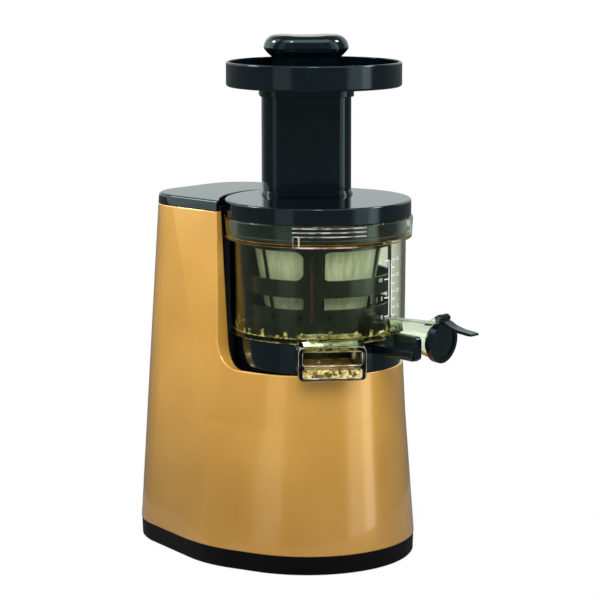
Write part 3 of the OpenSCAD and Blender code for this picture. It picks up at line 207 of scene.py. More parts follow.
def clear_copolyester():
    """Tinted copolyester, polished in the mould: bends what lies behind it, and lets tinted
    light through to the pieces inside. The tint is taken at each face that light crosses."""
    material, tree = new_material("smoky_copolyester")
    tint = linear("#F6FCF1")
    # flow marks of the melt, some 25 mm long, dull the polish a little
    flow = add(tree, "ShaderNodeTexNoise", {"Vector": scaled_place(tree, 25), "Scale": 1.0, "Detail": 2.0})
    rough = add(tree, "ShaderNodeMapRange", {
        "Value": flow.outputs["Fac"], "To Min": 0.01, "To Max": 0.04})
    glass = add(tree, "ShaderNodeBsdfPrincipled", {
        "Base Color": tint, "Roughness": rough.outputs["Result"], "IOR": 1.55,
        "Specular Tint": linear("#E4F6DE"), "Transmission Weight": 1.0})
    through = add(tree, "ShaderNodeBsdfTransparent", {"Color": tint})
    path = add(tree, "ShaderNodeLightPath")
    either = add(tree, "ShaderNodeMath", {
        0: path.outputs["Is Shadow Ray"], 1: path.outputs["Is Diffuse Ray"]}, operation="MAXIMUM")
    mix = add(tree, "ShaderNodeMixShader", {
        "Fac": either.outputs[0], 1: glass.outputs["BSDF"], 2: through.outputs["BSDF"]})
    # the wall itself soaks up red and blue light, so thick edges look olive
    soak = add(tree, "ShaderNodeVolumeAbsorption", {"Color": linear("#CBD0A6"), "Density": 80.0})
    add(tree, "ShaderNodeOutputMaterial", {
        "Surface": mix.outputs["Shader"], "Volume": soak.outputs["Volume"]})
    return material


def lit_edge(name, dark, bright, share, patch_mm):
    """Painted light on the clear bowl: an opaque share of colour stands in for the light that an edge gathers
    from inside its wall. The painted glow lies in patches a few millimetres long, and the rest of the light
    still passes."""
    material, tree = new_material(name)
    patch = add(tree, "ShaderNodeTexNoise", {
        "Vector": scaled_place(tree, patch_mm), "Scale": 1.0, "Detail": 2.0})
    ramp = add(tree, "ShaderNodeValToRGB", {"Fac": patch.outputs["Fac"]},
               stops=((0.42, dark), (0.62, bright)))
    glass = add(tree, "ShaderNodeBsdfPrincipled", {
        "Base Color": ramp.outputs["Color"], "Roughness": 0.08, "IOR": 1.5,
        "Transmission Weight": 1.0 - share})
    surface(tree, glass.outputs["BSDF"])
    return material


def metal(name, code, roughness, line_mm, stretch):
    """Bare metal with the fine lines that grinding, drawing or stamping leaves."""
    material, tree = new_material(name)
    lines = add(tree, "ShaderNodeTexNoise", {
        "Vector": scaled_place(tree, line_mm, stretch), "Scale": 1.0, "Detail": 3.0})
    rough = add(tree, "ShaderNodeMapRange", {
        "Value": lines.outputs["Fac"], "To Min": roughness * 0.75, "To Max": roughness * 1.3})
    bump = add(tree, "ShaderNodeBump", {
        "Height": lines.outputs["Fac"], "Strength": 0.2, "Distance": 0.04 * MM})
    shader = add(tree, "ShaderNodeBsdfPrincipled", {
        "Base Color": linear(code), "Metallic": 1.0, "Roughness": rough.outputs["Result"],
        "Normal": bump.outputs["Normal"]})
    surface(tree, shader.outputs["BSDF"])
    return material


def screen_sheet():
    """Etched stainless sheet: rows of holes too fine to see apart, which leave pale upright
    stripes, and a dull pickled sheen between them."""
    material, tree = new_material("etched_stainless_sheet")
    # the stripes are some 3 mm wide and run up the whole screen
    rows = add(tree, "ShaderNodeTexNoise", {
        "Vector": scaled_place(tree, 3.0, (1, 1, 0.02)), "Scale": 1.0, "Detail": 2.0, "Roughness": 0.5})
    ramp = add(tree, "ShaderNodeValToRGB", {"Fac": rows.outputs["Fac"]},
               stops=((0.25, "#C4C6AA"), (0.75, "#FCFAEC")))
    bump = add(tree, "ShaderNodeBump", {
        "Height": rows.outputs["Fac"], "Strength": 0.4, "Distance": 0.2 * MM})
    rough = add(tree, "ShaderNodeMapRange", {
        "Value": rows.outputs["Fac"], "To Min": 0.3, "To Max": 0.5})
    shader = add(tree, "ShaderNodeBsdfPrincipled", {
        "Base Color": ramp.outputs["Color"], "Metallic": 0.1, "Roughness": rough.outputs["Result"],
        "Normal": bump.outputs["Normal"]})
    surface(tree, shader.outputs["BSDF"])
    return material


def pad_print():
    """White pad-printing ink: an opaque, dull film, a little uneven where the pad lifts."""
    material, tree = new_material("white_pad_print")
    lift = add(tree, "ShaderNodeTexNoise", {"Vector": scaled_place(tree, 1.5), "Scale": 1.0, "Detail": 2.0})
    ramp = add(tree, "ShaderNodeValToRGB", {"Fac": lift.outputs["Fac"]},
               stops=((0.0, "#C9D2D6"), (1.0, "#F2F6F7")))
    shader = add(tree, "ShaderNodeBsdfPrincipled", {"Base Color": ramp.outputs["Color"], "Roughness": 0.55})
    surface(tree, shader.outputs["BSDF"])
    return material


GOLD = pearl_gold_lacquer()
# ABS moulded against a polished steel face: near-black with a cold cast and a wet gloss
BLACK = moulded("polished_black_abs", "#04090D", "#070F14", roughness=0.06, spread=0.05,
                grain_mm=14, height_mm=0.01, shine=0.75, cast="#D2EEF6")
# glass-filled polypropylene pan: matt, with a fine spark-eroded grain
BASE_BLACK = moulded("grained_black_polypropylene", "#030304", "#050506", roughness=0.55, spread=0.12,
                     grain_mm=0.9, height_mm=0.05, shine=0.15)
# black EPDM: dull, slightly dusty
RUBBER = moulded("black_epdm_rubber", "#1B1B1C", "#242425", roughness=0.7, spread=0.15,
                 grain_mm=0.7, height_mm=0.05)
# translucent silicone, slightly yellowed, drawn opaque where it is thick
SILICONE = moulded("cured_silicone", "#8C8778", "#A29D8C", roughness=0.45, spread=0.1,
                   grain_mm=1.5, height_mm=0.03)
# brown silicone of the brush blades, soft and satin
WIPER = moulded("brown_silicone", "#22150E", "#2C1C12", roughness=0.35, spread=0.1,
                grain_mm=1.5, height_mm=0.03)
# dark brown polyetherimide, moulded smooth, with a greenish gloss behind the clear wall
CAGE = moulded("dark_polyetherimide", "#0D0B07", "#1A1B13", roughness=0.14, spread=0.08,
               grain_mm=3.0, height_mm=0.02, cast="#D8F4DC")
# amber-brown polyetherimide of the screw: paler than the cage, with a soft gloss
AUGER = moulded("amber_brown_polyetherimide", "#3A2A1A", "#4A3721", roughness=0.22, spread=0.08,
                grain_mm=2.0, height_mm=0.03)
# undyed nylon of the gears: waxy and off-white
NYLON = moulded("natural_nylon", "#CFC9B6", "#DBD6C6", roughness=0.38, spread=0.1,
                grain_mm=1.2, height_mm=0.03)
# grey nylon with glass fibres of the gearbox: dull, with a fine grain
GREY_NYLON = moulded("grey_glass_nylon", "#4C4F53", "#585B60", roughness=0.5, spread=0.12,
                     grain_mm=0.8, height_mm=0.04)
# green lacquer of the circuit board: even and half glossy
BOARD = moulded("green_solder_lacquer", "#1D5A3A", "#266A46", roughness=0.28, spread=0.1,
                grain_mm=1.0, height_mm=0.03)
# ground steel: bright, with short level lines
STEEL = metal("ground_steel", "#B9BBBD", roughness=0.28, line_mm=0.8, stretch=(1, 1, 8))
SCREEN = screen_sheet()
# wound copper wire under its enamel: level strands side by side
COPPER = metal("enamelled_copper_wire", "#B8693A", roughness=0.3, line_mm=1.1, stretch=(1, 1, 6))
# stacked iron sheets: dull, with the level edges of the sheets
IRON = metal("laminated_iron", "#6F7276", roughness=0.45, line_mm=0.7, stretch=(0.3, 0.3, 6))
SMOKY = clear_copolyester()
# painted light on the clear bowl: a pale highlight on the edges of the chute's mouth and the grip, an amber
# reflection of the gold body under the rim and in the chute, and gold glints in the floor's corner and the
# pocket
EDGE = lit_edge("painted_highlight_on_edges", "#7C746B", "#E4DED6", share=0.5, patch_mm=7)
AMBER = lit_edge("painted_amber_reflection_on_edges", "#B87A2C", "#FFC068", share=0.95, patch_mm=9)
GLINT = lit_edge("painted_gold_glints_on_floor", "#544A20", "#F2DC90", share=0.9, patch_mm=3.2)
PRINT = pad_print()

for node, material in {
    "base_cover": BASE_BLACK, "rubber_feet": RUBBER, "body_shell": GOLD, "rear_cap": BLACK,
    "bowl_cradle": BLACK, "gearbox_housing": GREY_NYLON, "gearbox_cover": GREY_NYLON, "gear_axles": STEEL,
    "shaft_bearings": STEEL, "shaft_seal": RUBBER, "motor_housing": STEEL, "motor_end_bell": STEEL,
    "motor_bearings": STEEL, "stator_core": IRON, "stator_windings": COPPER, "control_board": BOARD,
    "capacitor": STEEL, "lid_sensor": BASE_BLACK, "switch_housing": BASE_BLACK, "cord_gland": RUBBER,
    "base_screws": STEEL, "gearbox_screws": STEEL, "motor_screws": STEEL, "drive_shaft": STEEL,
    "output_gear": NYLON, "gear_one": NYLON, "gear_two": NYLON, "motor_shaft": STEEL,
    "rotor_core": IRON, "motor_pinion": STEEL, "cooling_fan": BASE_BLACK, "switch_rocker": BLACK,
    "bowl": SMOKY, "bowl_rim": SMOKY, "pulp_chute": SMOKY, "juice_spout": SMOKY,
    "bowl_skirt": BLACK, "bowl_seal": SILICONE, "idler_pin": STEEL, "strainer_frame": CAGE,
    "strainer_screen": SCREEN, "pulp_plug": SILICONE, "lever_pin": STEEL, "cap_pin": STEEL,
    "control_lever": BLACK, "juice_cap": BLACK, "cap_lever": BLACK, "cap_seal": RUBBER,
    "brush_frame": CAGE, "brush_wipers": WIPER, "idler_gear": NYLON, "auger": AUGER,
    "lid": BLACK, "lid_seal": SILICONE, "lid_magnet": IRON, "hopper_tray": BLACK,
    "pusher_shaft": BLACK, "pusher_head": BLACK,
}.items():
    slots = frame["nodes"][node].data.materials
    slots.clear()
    slots.append(material)


# ---------------------------------------------------------------- finishing a piece

def as_object(bm, name):
    mesh = bpy.data.meshes.new(name)
    bm.to_mesh(mesh)
    bm.free()
    piece = bpy.data.objects.new(name, mesh)
    scene.collection.objects.link(piece)
    return piece


def smooth(piece, angle):
    """Smooth shading with crisp edges above an angle in degrees."""
    mesh = piece.data
    mesh.polygons.foreach_set("use_smooth", [True] * len(mesh.polygons))
    mesh.set_sharp_from_angle(angle=math.radians(angle))
    mesh.update()


def even_shading(piece):
    """Flat faces keep their own shade beside rounded edges."""
    weighted = piece.modifiers.new("even_shading", "WEIGHTED_NORMAL")
    weighted.keep_sharp = True


def attach(piece, slot, body, *nodes):
    """Lets a finished piece ride on a body in place of the CAD nodes that it stands for."""
    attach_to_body(piece, body)
    if nodes:
        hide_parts(*nodes)


# ---------------------------------------------------------------- skins of CAD nodes

SAME_CORNER = 2e-6  # corners of CAD triangles closer than this are one, m
FLAT = math.radians(0.4)  # faces that bend less than this are one
SHORT_EDGE = 6e-5  # an edge shorter than this would spoil a rounded one, m
THIN_FACE = 5e-5  # and so would a face thinner than this, m


def skin(node, slot, angle=32, edge_mm=0.0, even=True):
    """A merged copy of a CAD node with soft shading and, if asked, rounded edges."""
    source = frame["nodes"][node]
    bm = bmesh.new()
    bm.from_mesh(source.data)
    bmesh.ops.remove_doubles(bm, verts=bm.verts, dist=SAME_CORNER)
    bmesh.ops.dissolve_limit(bm, angle_limit=FLAT, verts=bm.verts, edges=bm.edges)
    if edge_mm:
        bmesh.ops.remove_doubles(bm, verts=bm.verts, dist=SHORT_EDGE)
        bmesh.ops.dissolve_degenerate(bm, edges=bm.edges, dist=THIN_FACE)
    piece = as_object(bm, node + "_skin")
    for material in source.data.materials:
        piece.data.materials.append(material)
    smooth(piece, angle)
    if edge_mm:
        bevel = piece.modifiers.new("rounded_edges", "BEVEL")
        bevel.width = edge_mm * MM
        bevel.segments = 3
        bevel.limit_method = "ANGLE"
        bevel.angle_limit = math.radians(angle)
        bevel.use_clamp_overlap = False
    if even:
        even_shading(piece)
    attach(piece, slot, source["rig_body"], node)


# the shell's tapered sides look smoother with plain normals
skin("body_shell", "shell", angle=30, edge_mm=0.8, even=False)
skin("rear_cap", "gloss_black", angle=30, edge_mm=0.5)
for node in ("lid", "hopper_tray", "control_lever"):
    skin(node, "gloss_black", edge_mm=0.4)
for node, slot in {
    "base_cover": "base_black", "rubber_feet": "rubber", "bowl_cradle": "gloss_black",
    "switch_housing": "base_black", "cord_gland": "rubber", "switch_rocker": "gloss_black",
    "bowl_skirt": "gloss_black", "strainer_frame": "cage", "strainer_screen": "screen",
    "cap_lever": "gloss_black", "juice_cap": "gloss_black", "brush_frame": "cage",
    "auger": "auger", "pusher_shaft": "gloss_black",
    "drive_shaft": "steel", "brush_wipers": "silicone",
}.items():
    skin(node, slot)


# ---------------------------------------------------------------- shapes for new pieces

QUARTER = math.radians(90)
AROUND = 192  # steps round a turned piece


def about(angle):
    """A turn about the bowl axis, in degrees."""
    return Matrix.Rotation(math.radians(angle), 4, "Z")


def shift(x, y, z):
    return Matrix.Translation((x, y, z))


def side_on(place):
    """Stands an outline upright in a place: its X runs along the place's Y and its Y upwards."""
    return place @ Matrix.Rotation(QUARTER, 4, "Y") @ Matrix.Rotation(QUARTER, 4, "Z")


def rounded(points, radii, steps=5):
    """A path whose corners are turned into arcs of the given radii."""
    path = []
    last = len(points) - 1
    for i, (point, radius) in enumerate(zip(points, radii)):
        if radius == 0 or i in (0, last):
            path.append(point)
            continue
        corner = Vector(point)
        back = (Vector(points[i - 1]) - corner).normalized()
        on = (Vector(points[i + 1]) - corner).normalized()
        half = back.angle(on) / 2
        middle = corner + (back + on).normalized() * (radius / math.sin(half))
        start = corner + back * (radius / math.tan(half)) - middle
        end = corner + on * (radius / math.tan(half)) - middle
        for k in range(steps + 1):
            path.append(tuple(middle + start.slerp(end, k / steps)))
    return path


def turned(profile):
    """A solid of revolution from a path of (radius, height) that starts and ends on the axis."""
    bm = bmesh.new()
    points = [bm.verts.new((r, 0, z)) for r, z in profile]
    edges = [bm.edges.new(pair) for pair in zip(points, points[1:])]
    bmesh.ops.spin(bm, geom=points + edges, cent=(0, 0, 0), axis=(0, 0, 1), dvec=(0, 0, 0),
                   angle=math.tau, steps=AROUND, use_merge=True)
    bmesh.ops.remove_doubles(bm, verts=bm.verts, dist=1e-4)
    bmesh.ops.recalc_face_normals(bm, faces=bm.faces)
    return bm


def prism(outline, height, place, edge=0.0):
    """An outline in XY raised along Z, its edges rounded if asked, then placed."""
    bm = bmesh.new()
    face = bm.faces.new([bm.verts.new((x, y, 0)) for x, y in outline])
    raised = bmesh.ops.extrude_face_region(bm, geom=[face])["geom"]
    bmesh.ops.translate(
        bm, vec=(0, 0, height), verts=[v for v in raised if isinstance(v, bmesh.types.BMVert)])
    bmesh.ops.recalc_face_normals(bm, faces=bm.faces)
    if edge:
        sharp = [e for e in bm.edges if e.calc_face_angle(0) > math.radians(40)]
        bmesh.ops.bevel(bm, geom=sharp, offset=edge, offset_type="OFFSET", segments=3, profile=0.5,
                        affect="EDGES", material=-1, clamp_overlap=True)
    bmesh.ops.transform(bm, matrix=place, verts=bm.verts)
    return bm


def oblong(width, depth, radius, steps=6):
    """Outline of a rectangle with round corners, centred."""
    outline = []
    for k, (sx, sy) in enumerate([(1, 1), (-1, 1), (-1, -1), (1, -1)]):
        for i in range(steps + 1):
            a = math.radians(90 * k + 90 * i / steps)
            outline.append((sx * (width / 2 - radius) + radius * math.cos(a),
                            sy * (depth / 2 - radius) + radius * math.sin(a)))
    return outline


def box(x0, x1, y0, y1, z0, z1, place, edge=0.0):
    outline = [(x0, y0), (x1, y0), (x1, y1), (x0, y1)]
    return prism(outline, z1 - z0, place @ shift(0, 0, z0), edge)


def cone(r1, r2, length, place, steps=96):
    """A solid cone along Z from radius r1 at its foot to r2."""
    bm = bmesh.new()
    bmesh.ops.create_cone(bm, cap_ends=True, segments=steps, radius1=r1, radius2=r2, depth=length)
    bmesh.ops.translate(bm, vec=(0, 0, length / 2), verts=bm.verts)
    bmesh.ops.transform(bm, matrix=place, verts=bm.verts)
    return bm


def sector(r_in, r_out, z0, z1, middle, half, steps=24):
    """A ring's sector raised between two heights."""
    angles = [math.radians(middle - 90 - half + 2 * half * k / steps) for k in range(steps + 1)]
    outline = [(r_out * math.cos(a), r_out * math.sin(a)) for a in angles]
    outline += [(r_in * math.cos(a), r_in * math.sin(a)) for a in reversed(angles)]
    return prism(outline, z1 - z0, shift(0, 0, z0))


def combine(piece, shape, operation):
    """Joins a shape to a piece, or cuts it out, and drops the shape."""
    other = as_object(shape, "working_shape")
    step = piece.modifiers.new("join_or_cut", "BOOLEAN")
    step.object = other
    step.operation = operation
    step.solver = "MANIFOLD"
    view = bpy.context.evaluated_depsgraph_get()
    mesh = bpy.data.meshes.new_from_object(piece.evaluated_get(view))
    piece.modifiers.clear()
    piece.data = mesh
    bpy.data.objects.remove(other)


# ---------------------------------------------------------------- clear bowl

# cup and rim
FLOOR_Z = 173.5  # underside of the bowl's floor
FLOOR_T = 3.0
STEP_Z = 246.5  # where the cup widens to its rim
SHELF_Z = 249.0  # ledge inside the rim that carries the strainer
RIM_TOP = 262.7
CUP_R = 67.0
CUP_WALL = 2.6
RIM_R = 72.0
RIM_WALL = 1.8
BOSS_R = 13.0  # boss under the floor, round the drive shaft
BOSS_H = 6.0
BORE_R = 10.0  # hole in the boss

# pulp chute, in its own frame that faces -Y
CHUTE_WAY = -43.0  # its direction from the front
CHUTE_REACH = 88.0  # from the bowl axis to the front of its mouth
FRAME_W = 50.5  # plate round the mouth
FRAME_H = 25.5
FRAME_T = 3.0
FRAME_Z = 163.75  # middle of its height
TROUGH_W = 48.9
TROUGH = [(-16, 151.6), (-85.5, 151.6), (-85.5, 175.9), (-66, 182.5), (-66, 174), (-16, 174)]  # y, z
TROUGH_HALF = 20.75  # half the width inside
TROUGH_BACK = -17.5
TROUGH_LOW = 154.0
TROUGH_HIGH = 172.7
MOUTH_HALF = 21.75  # half the width of the mouth and of the pocket under its cross bar
MOUTH_LOW = 163.0
POCKET_LOW = 153.6
POCKET_HIGH = 159.6
POCKET_Y = -86.8  # its back
PULP_R_IN = 19.0  # hole in the floor that lets the pulp out
PULP_R_OUT = 33.0
PULP_HALF = 28.0  # half the angle that it spans, degrees
COLLAR_R_IN = 17.4  # wall that stands round this hole
COLLAR_R_OUT = 34.8
COLLAR_HALF = 31.0
COLLAR_TOP = 184.8

# juice spout, in the frame of its mouth: Z out of the mouth, Y up
SPOUT_TILT = 5.4
SPOUT_REACH = 116.0
SPOUT_RISE = 5.4  # middle of the mouth above FLOOR_Z
SPOUT_LEN = 51.0
SPOUT_ROOT_R = 8.0
SPOUT_MOUTH_R = 14.2
SPOUT_WALL = 2.0
EAR = [(10.2, -9), (11.6, -9), (19.9, 0.6), (19.4, 3.2), (17.2, 4.1), (15.4, 3.0), (12.7, -0.3)]
EAR_T = 2.2
EAR_X = 6.2

# grip on the front of the rim
GRIP_OUT = 1.9  # how far its lines stand out
GRIP_SUNK = 0.5  # how far they reach into the rim
# foot and top of each line above STEP_Z, its half width and its turn from the chute, degrees
GRIP_LINES = [(8.6, 9.5, 22, 0), (11.7, 12.6, 22, 0), (14.8, 15.7, 22, 0), (0.5, 1.6, 19, -3)]
GRIP_BARS = [-21.5, -18]  # turns of the upright bars from the chute, degrees

AT_CHUTE = about(CHUTE_WAY)
AT_MOUTH = (shift(0, -SPOUT_REACH, FLOOR_Z + SPOUT_RISE)
            @ Matrix.Rotation(math.radians(90 + SPOUT_TILT), 4, "X"))


def cup_outside():
    """The cup with its boss and rim, still solid."""
    return turned(rounded(
        [(0, FLOOR_Z - BOSS_H), (BOSS_R, FLOOR_Z - BOSS_H), (BOSS_R, FLOOR_Z), (CUP_R, FLOOR_Z),
         (CUP_R, STEP_Z), (RIM_R, STEP_Z), (RIM_R, RIM_TOP), (0, RIM_TOP)],
        [0, 0.6, 0.8, 1.5, 1.0, 1.4, 0.6, 0]))


def cup_inside():
    """What is cut out of the cup: its room, the shelf and the socket for the lid."""
    inner, wide, past = CUP_R - CUP_WALL, RIM_R - RIM_WALL, RIM_TOP + 2
    return turned(rounded(
        [(0, FLOOR_Z + FLOOR_T), (inner, FLOOR_Z + FLOOR_T), (inner, SHELF_Z), (wide, SHELF_Z),
         (wide, past), (0, past)],
        [0, 2.0, 0.5, 0.8, 0, 0]))


def chute_outside(bowl):
    """The trough of the pulp chute and the plate round its mouth."""
    combine(bowl, prism(TROUGH, TROUGH_W, side_on(AT_CHUTE) @ shift(0, 0, -TROUGH_W / 2), 0.8), "UNION")
    face_on = AT_CHUTE @ shift(0, -CHUTE_REACH, FRAME_Z) @ Matrix.Rotation(-QUARTER, 4, "X")
    combine(bowl, prism(oblong(FRAME_W, FRAME_H, 4.5), FRAME_T, face_on, 0.7), "UNION")


def spout_outside(bowl):
    """The spout's cone and the two ears that hold the pin of its cap."""
    combine(bowl, cone(SPOUT_ROOT_R, SPOUT_MOUTH_R, SPOUT_LEN, AT_MOUTH @ shift(0, 0, -SPOUT_LEN)), "UNION")
    for x in (-EAR_X, EAR_X):
        combine(bowl, prism(EAR, EAR_T, side_on(AT_MOUTH) @ shift(0, 0, x - EAR_T / 2), 0.4), "UNION")


def grip(bowl):
    """Level lines on the front of the rim, two of them joined to a loop by short upright bars."""
    for low, high, half, aside in GRIP_LINES:
        line = sector(RIM_R - GRIP_SUNK, RIM_R + GRIP_OUT, STEP_Z + low, STEP_Z + high,
                      CHUTE_WAY + aside, half)
        combine(bowl, line, "UNION")
    for way in GRIP_BARS:
        bar = box(-0.6, 0.6, -RIM_R - GRIP_OUT, -RIM_R + GRIP_SUNK, STEP_Z + 0.6, STEP_Z + 8.8,
                  about(CHUTE_WAY + way))
        combine(bowl, bar, "UNION")


def ring_of_ribs(count=60):
    """Short upright ribs in the corner between the cup's wall and floor, which catch the light and carry
    painted gold glints.
    """
    wall_y = CUP_WALL - CUP_R
    floor_top = FLOOR_Z + FLOOR_T
    ribs = bmesh.new()
    for k in range(count):
        height = 4.5 + 3.0 * math.sin(2.4 * k)
        rib = box(-1.5, 1.5, wall_y - 0.6, wall_y + 1.5, floor_top - 0.5, floor_top + height,
                  about(360 * k / count), 0.4)
        mesh = bpy.data.meshes.new("rib")
        rib.to_mesh(mesh)
        rib.free()
        ribs.from_mesh(mesh)
        bpy.data.meshes.remove(mesh)
    return ribs


def holes(bowl):
    """The pulp hole in its collar, the shaft's hole in the boss and the spout's bore."""
    collar = sector(COLLAR_R_IN, COLLAR_R_OUT, FLOOR_Z + 1, COLLAR_TOP, CHUTE_WAY, COLLAR_HALF)
    combine(bowl, collar, "UNION")
    combine(bowl, sector(PULP_R_IN, PULP_R_OUT, FLOOR_Z - 2, 190, CHUTE_WAY, PULP_HALF), "DIFFERENCE")
    combine(bowl, cone(BORE_R, BORE_R, 20, shift(0, 0, FLOOR_Z - BOSS_H - 1)), "DIFFERENCE")
    # the bore runs on with the same slope for 4 mm past the spout's root, into the cup
    length = SPOUT_LEN + 4
    bore = cone(SPOUT_ROOT_R - SPOUT_WALL - 0.48, SPOUT_MOUTH_R - SPOUT_WALL, length,
                AT_MOUTH @ shift(0, 0, -length))
    combine(bowl, bore, "DIFFERENCE")


def flare(low, high):
    """Widens an opening of the chute's mouth by a chamfer of 0.7 mm at its front."""
    bm = bmesh.new()
    for y, grow in ((-CHUTE_REACH - 0.1, 1.6), (-CHUTE_REACH + 0.7, 0.0)):
        for x, z in oblong(2 * MOUTH_HALF + grow, high - low + grow, 1.5 + grow / 2, 4):
            bm.verts.new((x, y, (low + high) / 2 + z))
    bmesh.ops.convex_hull(bm, input=bm.verts)
    bmesh.ops.transform(bm, matrix=AT_CHUTE, verts=bm.verts)
    return bm


def chute_inside(bowl):
    """The trough's inside, its mouth, the pocket under the cross bar and the way in from the cup."""
    front = -CHUTE_REACH - 1
    for half, y0, y1, z0, z1, edge in (
        (TROUGH_HALF, -85.5, TROUGH_BACK, TROUGH_LOW, TROUGH_HIGH, 0.6),
        (MOUTH_HALF, front, -84.5, MOUTH_LOW, TROUGH_HIGH, 0.0),
        (MOUTH_HALF, front, POCKET_Y, POCKET_LOW, POCKET_HIGH, 0.0),
    ):
        combine(bowl, box(-half, half, y0, y1, z0, z1, AT_CHUTE, edge), "DIFFERENCE")
    combine(bowl, flare(MOUTH_LOW, TROUGH_HIGH), "DIFFERENCE")
    combine(bowl, flare(POCKET_LOW, POCKET_HIGH), "DIFFERENCE")
    way_in = box(-TROUGH_HALF, TROUGH_HALF, -60, TROUGH_BACK, 171.5, 175.5, AT_CHUTE)
    combine(bowl, way_in, "DIFFERENCE")


def light_the_edges(mesh):
    """Gives the faces that stand in for light their own painted-light material: a painted highlight round the
    chute's mouth and on the grip, a painted amber reflection of the gold body under the rim and on the
    chute's floor, and painted gold glints in the corner of the cup's floor and in the pocket."""
    for material in (SMOKY, EDGE, AMBER, GLINT):
        mesh.materials.append(material)
    # places of the painted highlight, the painted amber reflection and the painted gold glints in the list
    # above
    pale, amber, glint = 1, 2, 3
    to_chute = AT_CHUTE.inverted()
    for face in mesh.polygons:
        at, out = to_chute @ face.center, to_chute.to_3x3() @ face.normal
        r = at.xy.length
        on_frame = at.y < FRAME_T - CHUTE_REACH + 0.1 and abs(at.x) < FRAME_W / 2 + 0.35
        in_trough = POCKET_Y - 0.1 < at.y < TROUGH_BACK + 0.5 and abs(at.x) < MOUTH_HALF + 0.15
        if on_frame and abs(at.z - FRAME_Z) < FRAME_H / 2 + 0.5 and 0.15 < abs(out.y) < 0.95:
            face.material_index = pale
        elif r > RIM_R + 1.5 and at.z > STEP_Z and abs(out.z) < 0.5:
            face.material_index = pale
        elif r > CUP_R + 0.5 and STEP_Z - 1 < at.z < STEP_Z + 0.9:
            face.material_index = amber
        elif in_trough and at.z < POCKET_HIGH + 0.4 and (out.z > 0.5 or out.y < -0.5):
            face.material_index = glint if at.y < POCKET_Y + 0.8 else amber
        elif 46 < r < CUP_R - 0.6 and FLOOR_Z - 0.5 < at.z < FLOOR_Z + FLOOR_T + 9:
            face.material_index = glint


def clear_bowl():
    """The cup with its rim, pulp chute and juice spout, welded into one clear piece."""
    bowl = as_object(cup_outside(), "clear_bowl")
    chute_outside(bowl)
    spout_outside(bowl)
    grip(bowl)
    combine(bowl, cup_inside(), "DIFFERENCE")
    combine(bowl, ring_of_ribs(), "UNION")
    holes(bowl)
    chute_inside(bowl)
    bowl.data.materials.clear()
    light_the_edges(bowl.data)
    bowl.data.transform(TO_FRAME)
    smooth(bowl, 35)
    even_shading(bowl)
    attach(bowl, "smoky", "bowl_set", "bowl", "bowl_rim", "pulp_chute", "juice_spout")


clear_bowl()


# ---------------------------------------------------------------- scale printed on the bowl

PRINT_R = CUP_R + 0.06
SCALE_WAY = 3.6  # direction of the scale round the bowl, from the front
SCALE_LOW = 192.0
SCALE_HIGH = 234.0
LINE_ASIDE = 1.6  # from the middle between the two upright lines
LINE_W = 1.1
TICK_H = 0.9
RIGHT_TICK = 5.0
LEFT_TICK = 5.5
FIGURE_H = 4.2
FIGURE_DROP = 1.5  # foot of a figure below the middle of its tick


def on_wall(bm):
    """Wraps a flat sheet, X across and Y up in mm, round the outside of the bowl."""
    for v in bm.verts:
        a = v.co.x / PRINT_R - math.pi / 2
        v.co = Vector((PRINT_R * math.cos(a), PRINT_R * math.sin(a), v.co.y))


def mark(bm, x, y, width, height):
    """One printed bar, with its middle at x, y, cut every 1.5 mm or so to follow the wall."""
    cuts = max(1, int(width / 1.5))
    made = bmesh.ops.create_grid(bm, x_segments=cuts, y_segments=1, size=0.5)["verts"]
    bmesh.ops.scale(bm, vec=(width, height, 1), verts=made)
    bmesh.ops.translate(bm, vec=(x, y, 0), verts=made)


def number(bm, words, x, y):
    """Plain figures, with the left end of their foot at x, y."""
    curve = bpy.data.curves.new("figures", "FONT")
    curve.body = words
    curve.size = FIGURE_H
    holder = bpy.data.objects.new("figures", curve)
    scene.collection.objects.link(holder)
    view = bpy.context.evaluated_depsgraph_get()
    mesh = bpy.data.meshes.new_from_object(holder.evaluated_get(view))
    mesh.transform(shift(x, y, 0))
    bm.from_mesh(mesh)
    bpy.data.objects.remove(holder)


def printed_scale():
    """Two upright lines with ticks and plain numbers, and a row of small marks below."""
    middle = math.radians(SCALE_WAY) * PRINT_R
    tall = SCALE_HIGH - SCALE_LOW
    bm = bmesh.new()
    for x in (-LINE_ASIDE, LINE_ASIDE):
        mark(bm, middle + x, (SCALE_LOW + SCALE_HIGH) / 2, LINE_W, tall)
    for k in range(8):
        y = SCALE_LOW + tall * k / 7
        mark(bm, middle + LINE_ASIDE + RIGHT_TICK / 2, y, RIGHT_TICK, TICK_H)
        if k % 2 == 1:
            number(bm, str(50 + 50 * k), middle + 7.6, y - FIGURE_DROP)
    for k in range(4):
        y = SCALE_LOW + tall * k / 3
        mark(bm, middle - LINE_ASIDE - LEFT_TICK / 2, y, LEFT_TICK, TICK_H)
        # two figures start further left than one
        number(bm, str(5 * k), middle - (13.5 if k > 1 else 11), y - FIGURE_DROP)
    # a bar and two dots under the scale
    for x, width in ((-9.5, 6), (3, 1.8), (7, 1.8)):
        mark(bm, middle + x, SCALE_LOW - 11, width, 1.6)
    on_wall(bm)
    bmesh.ops.recalc_face_normals(bm, faces=bm.faces)
    for face in bm.faces:
        centre = face.calc_center_median()
        if face.normal.dot(Vector((centre.x, centre.y, 0))) < 0:
            face.normal_flip()
    scale = as_object(bm, "printed_scale")
    scale.data.transform(TO_FRAME)
    scale.data.materials.append(PRINT)
    attach(scale, "smoky", "bowl_set")


printed_scale()


# ---------------------------------------------------------------- pusher's knob

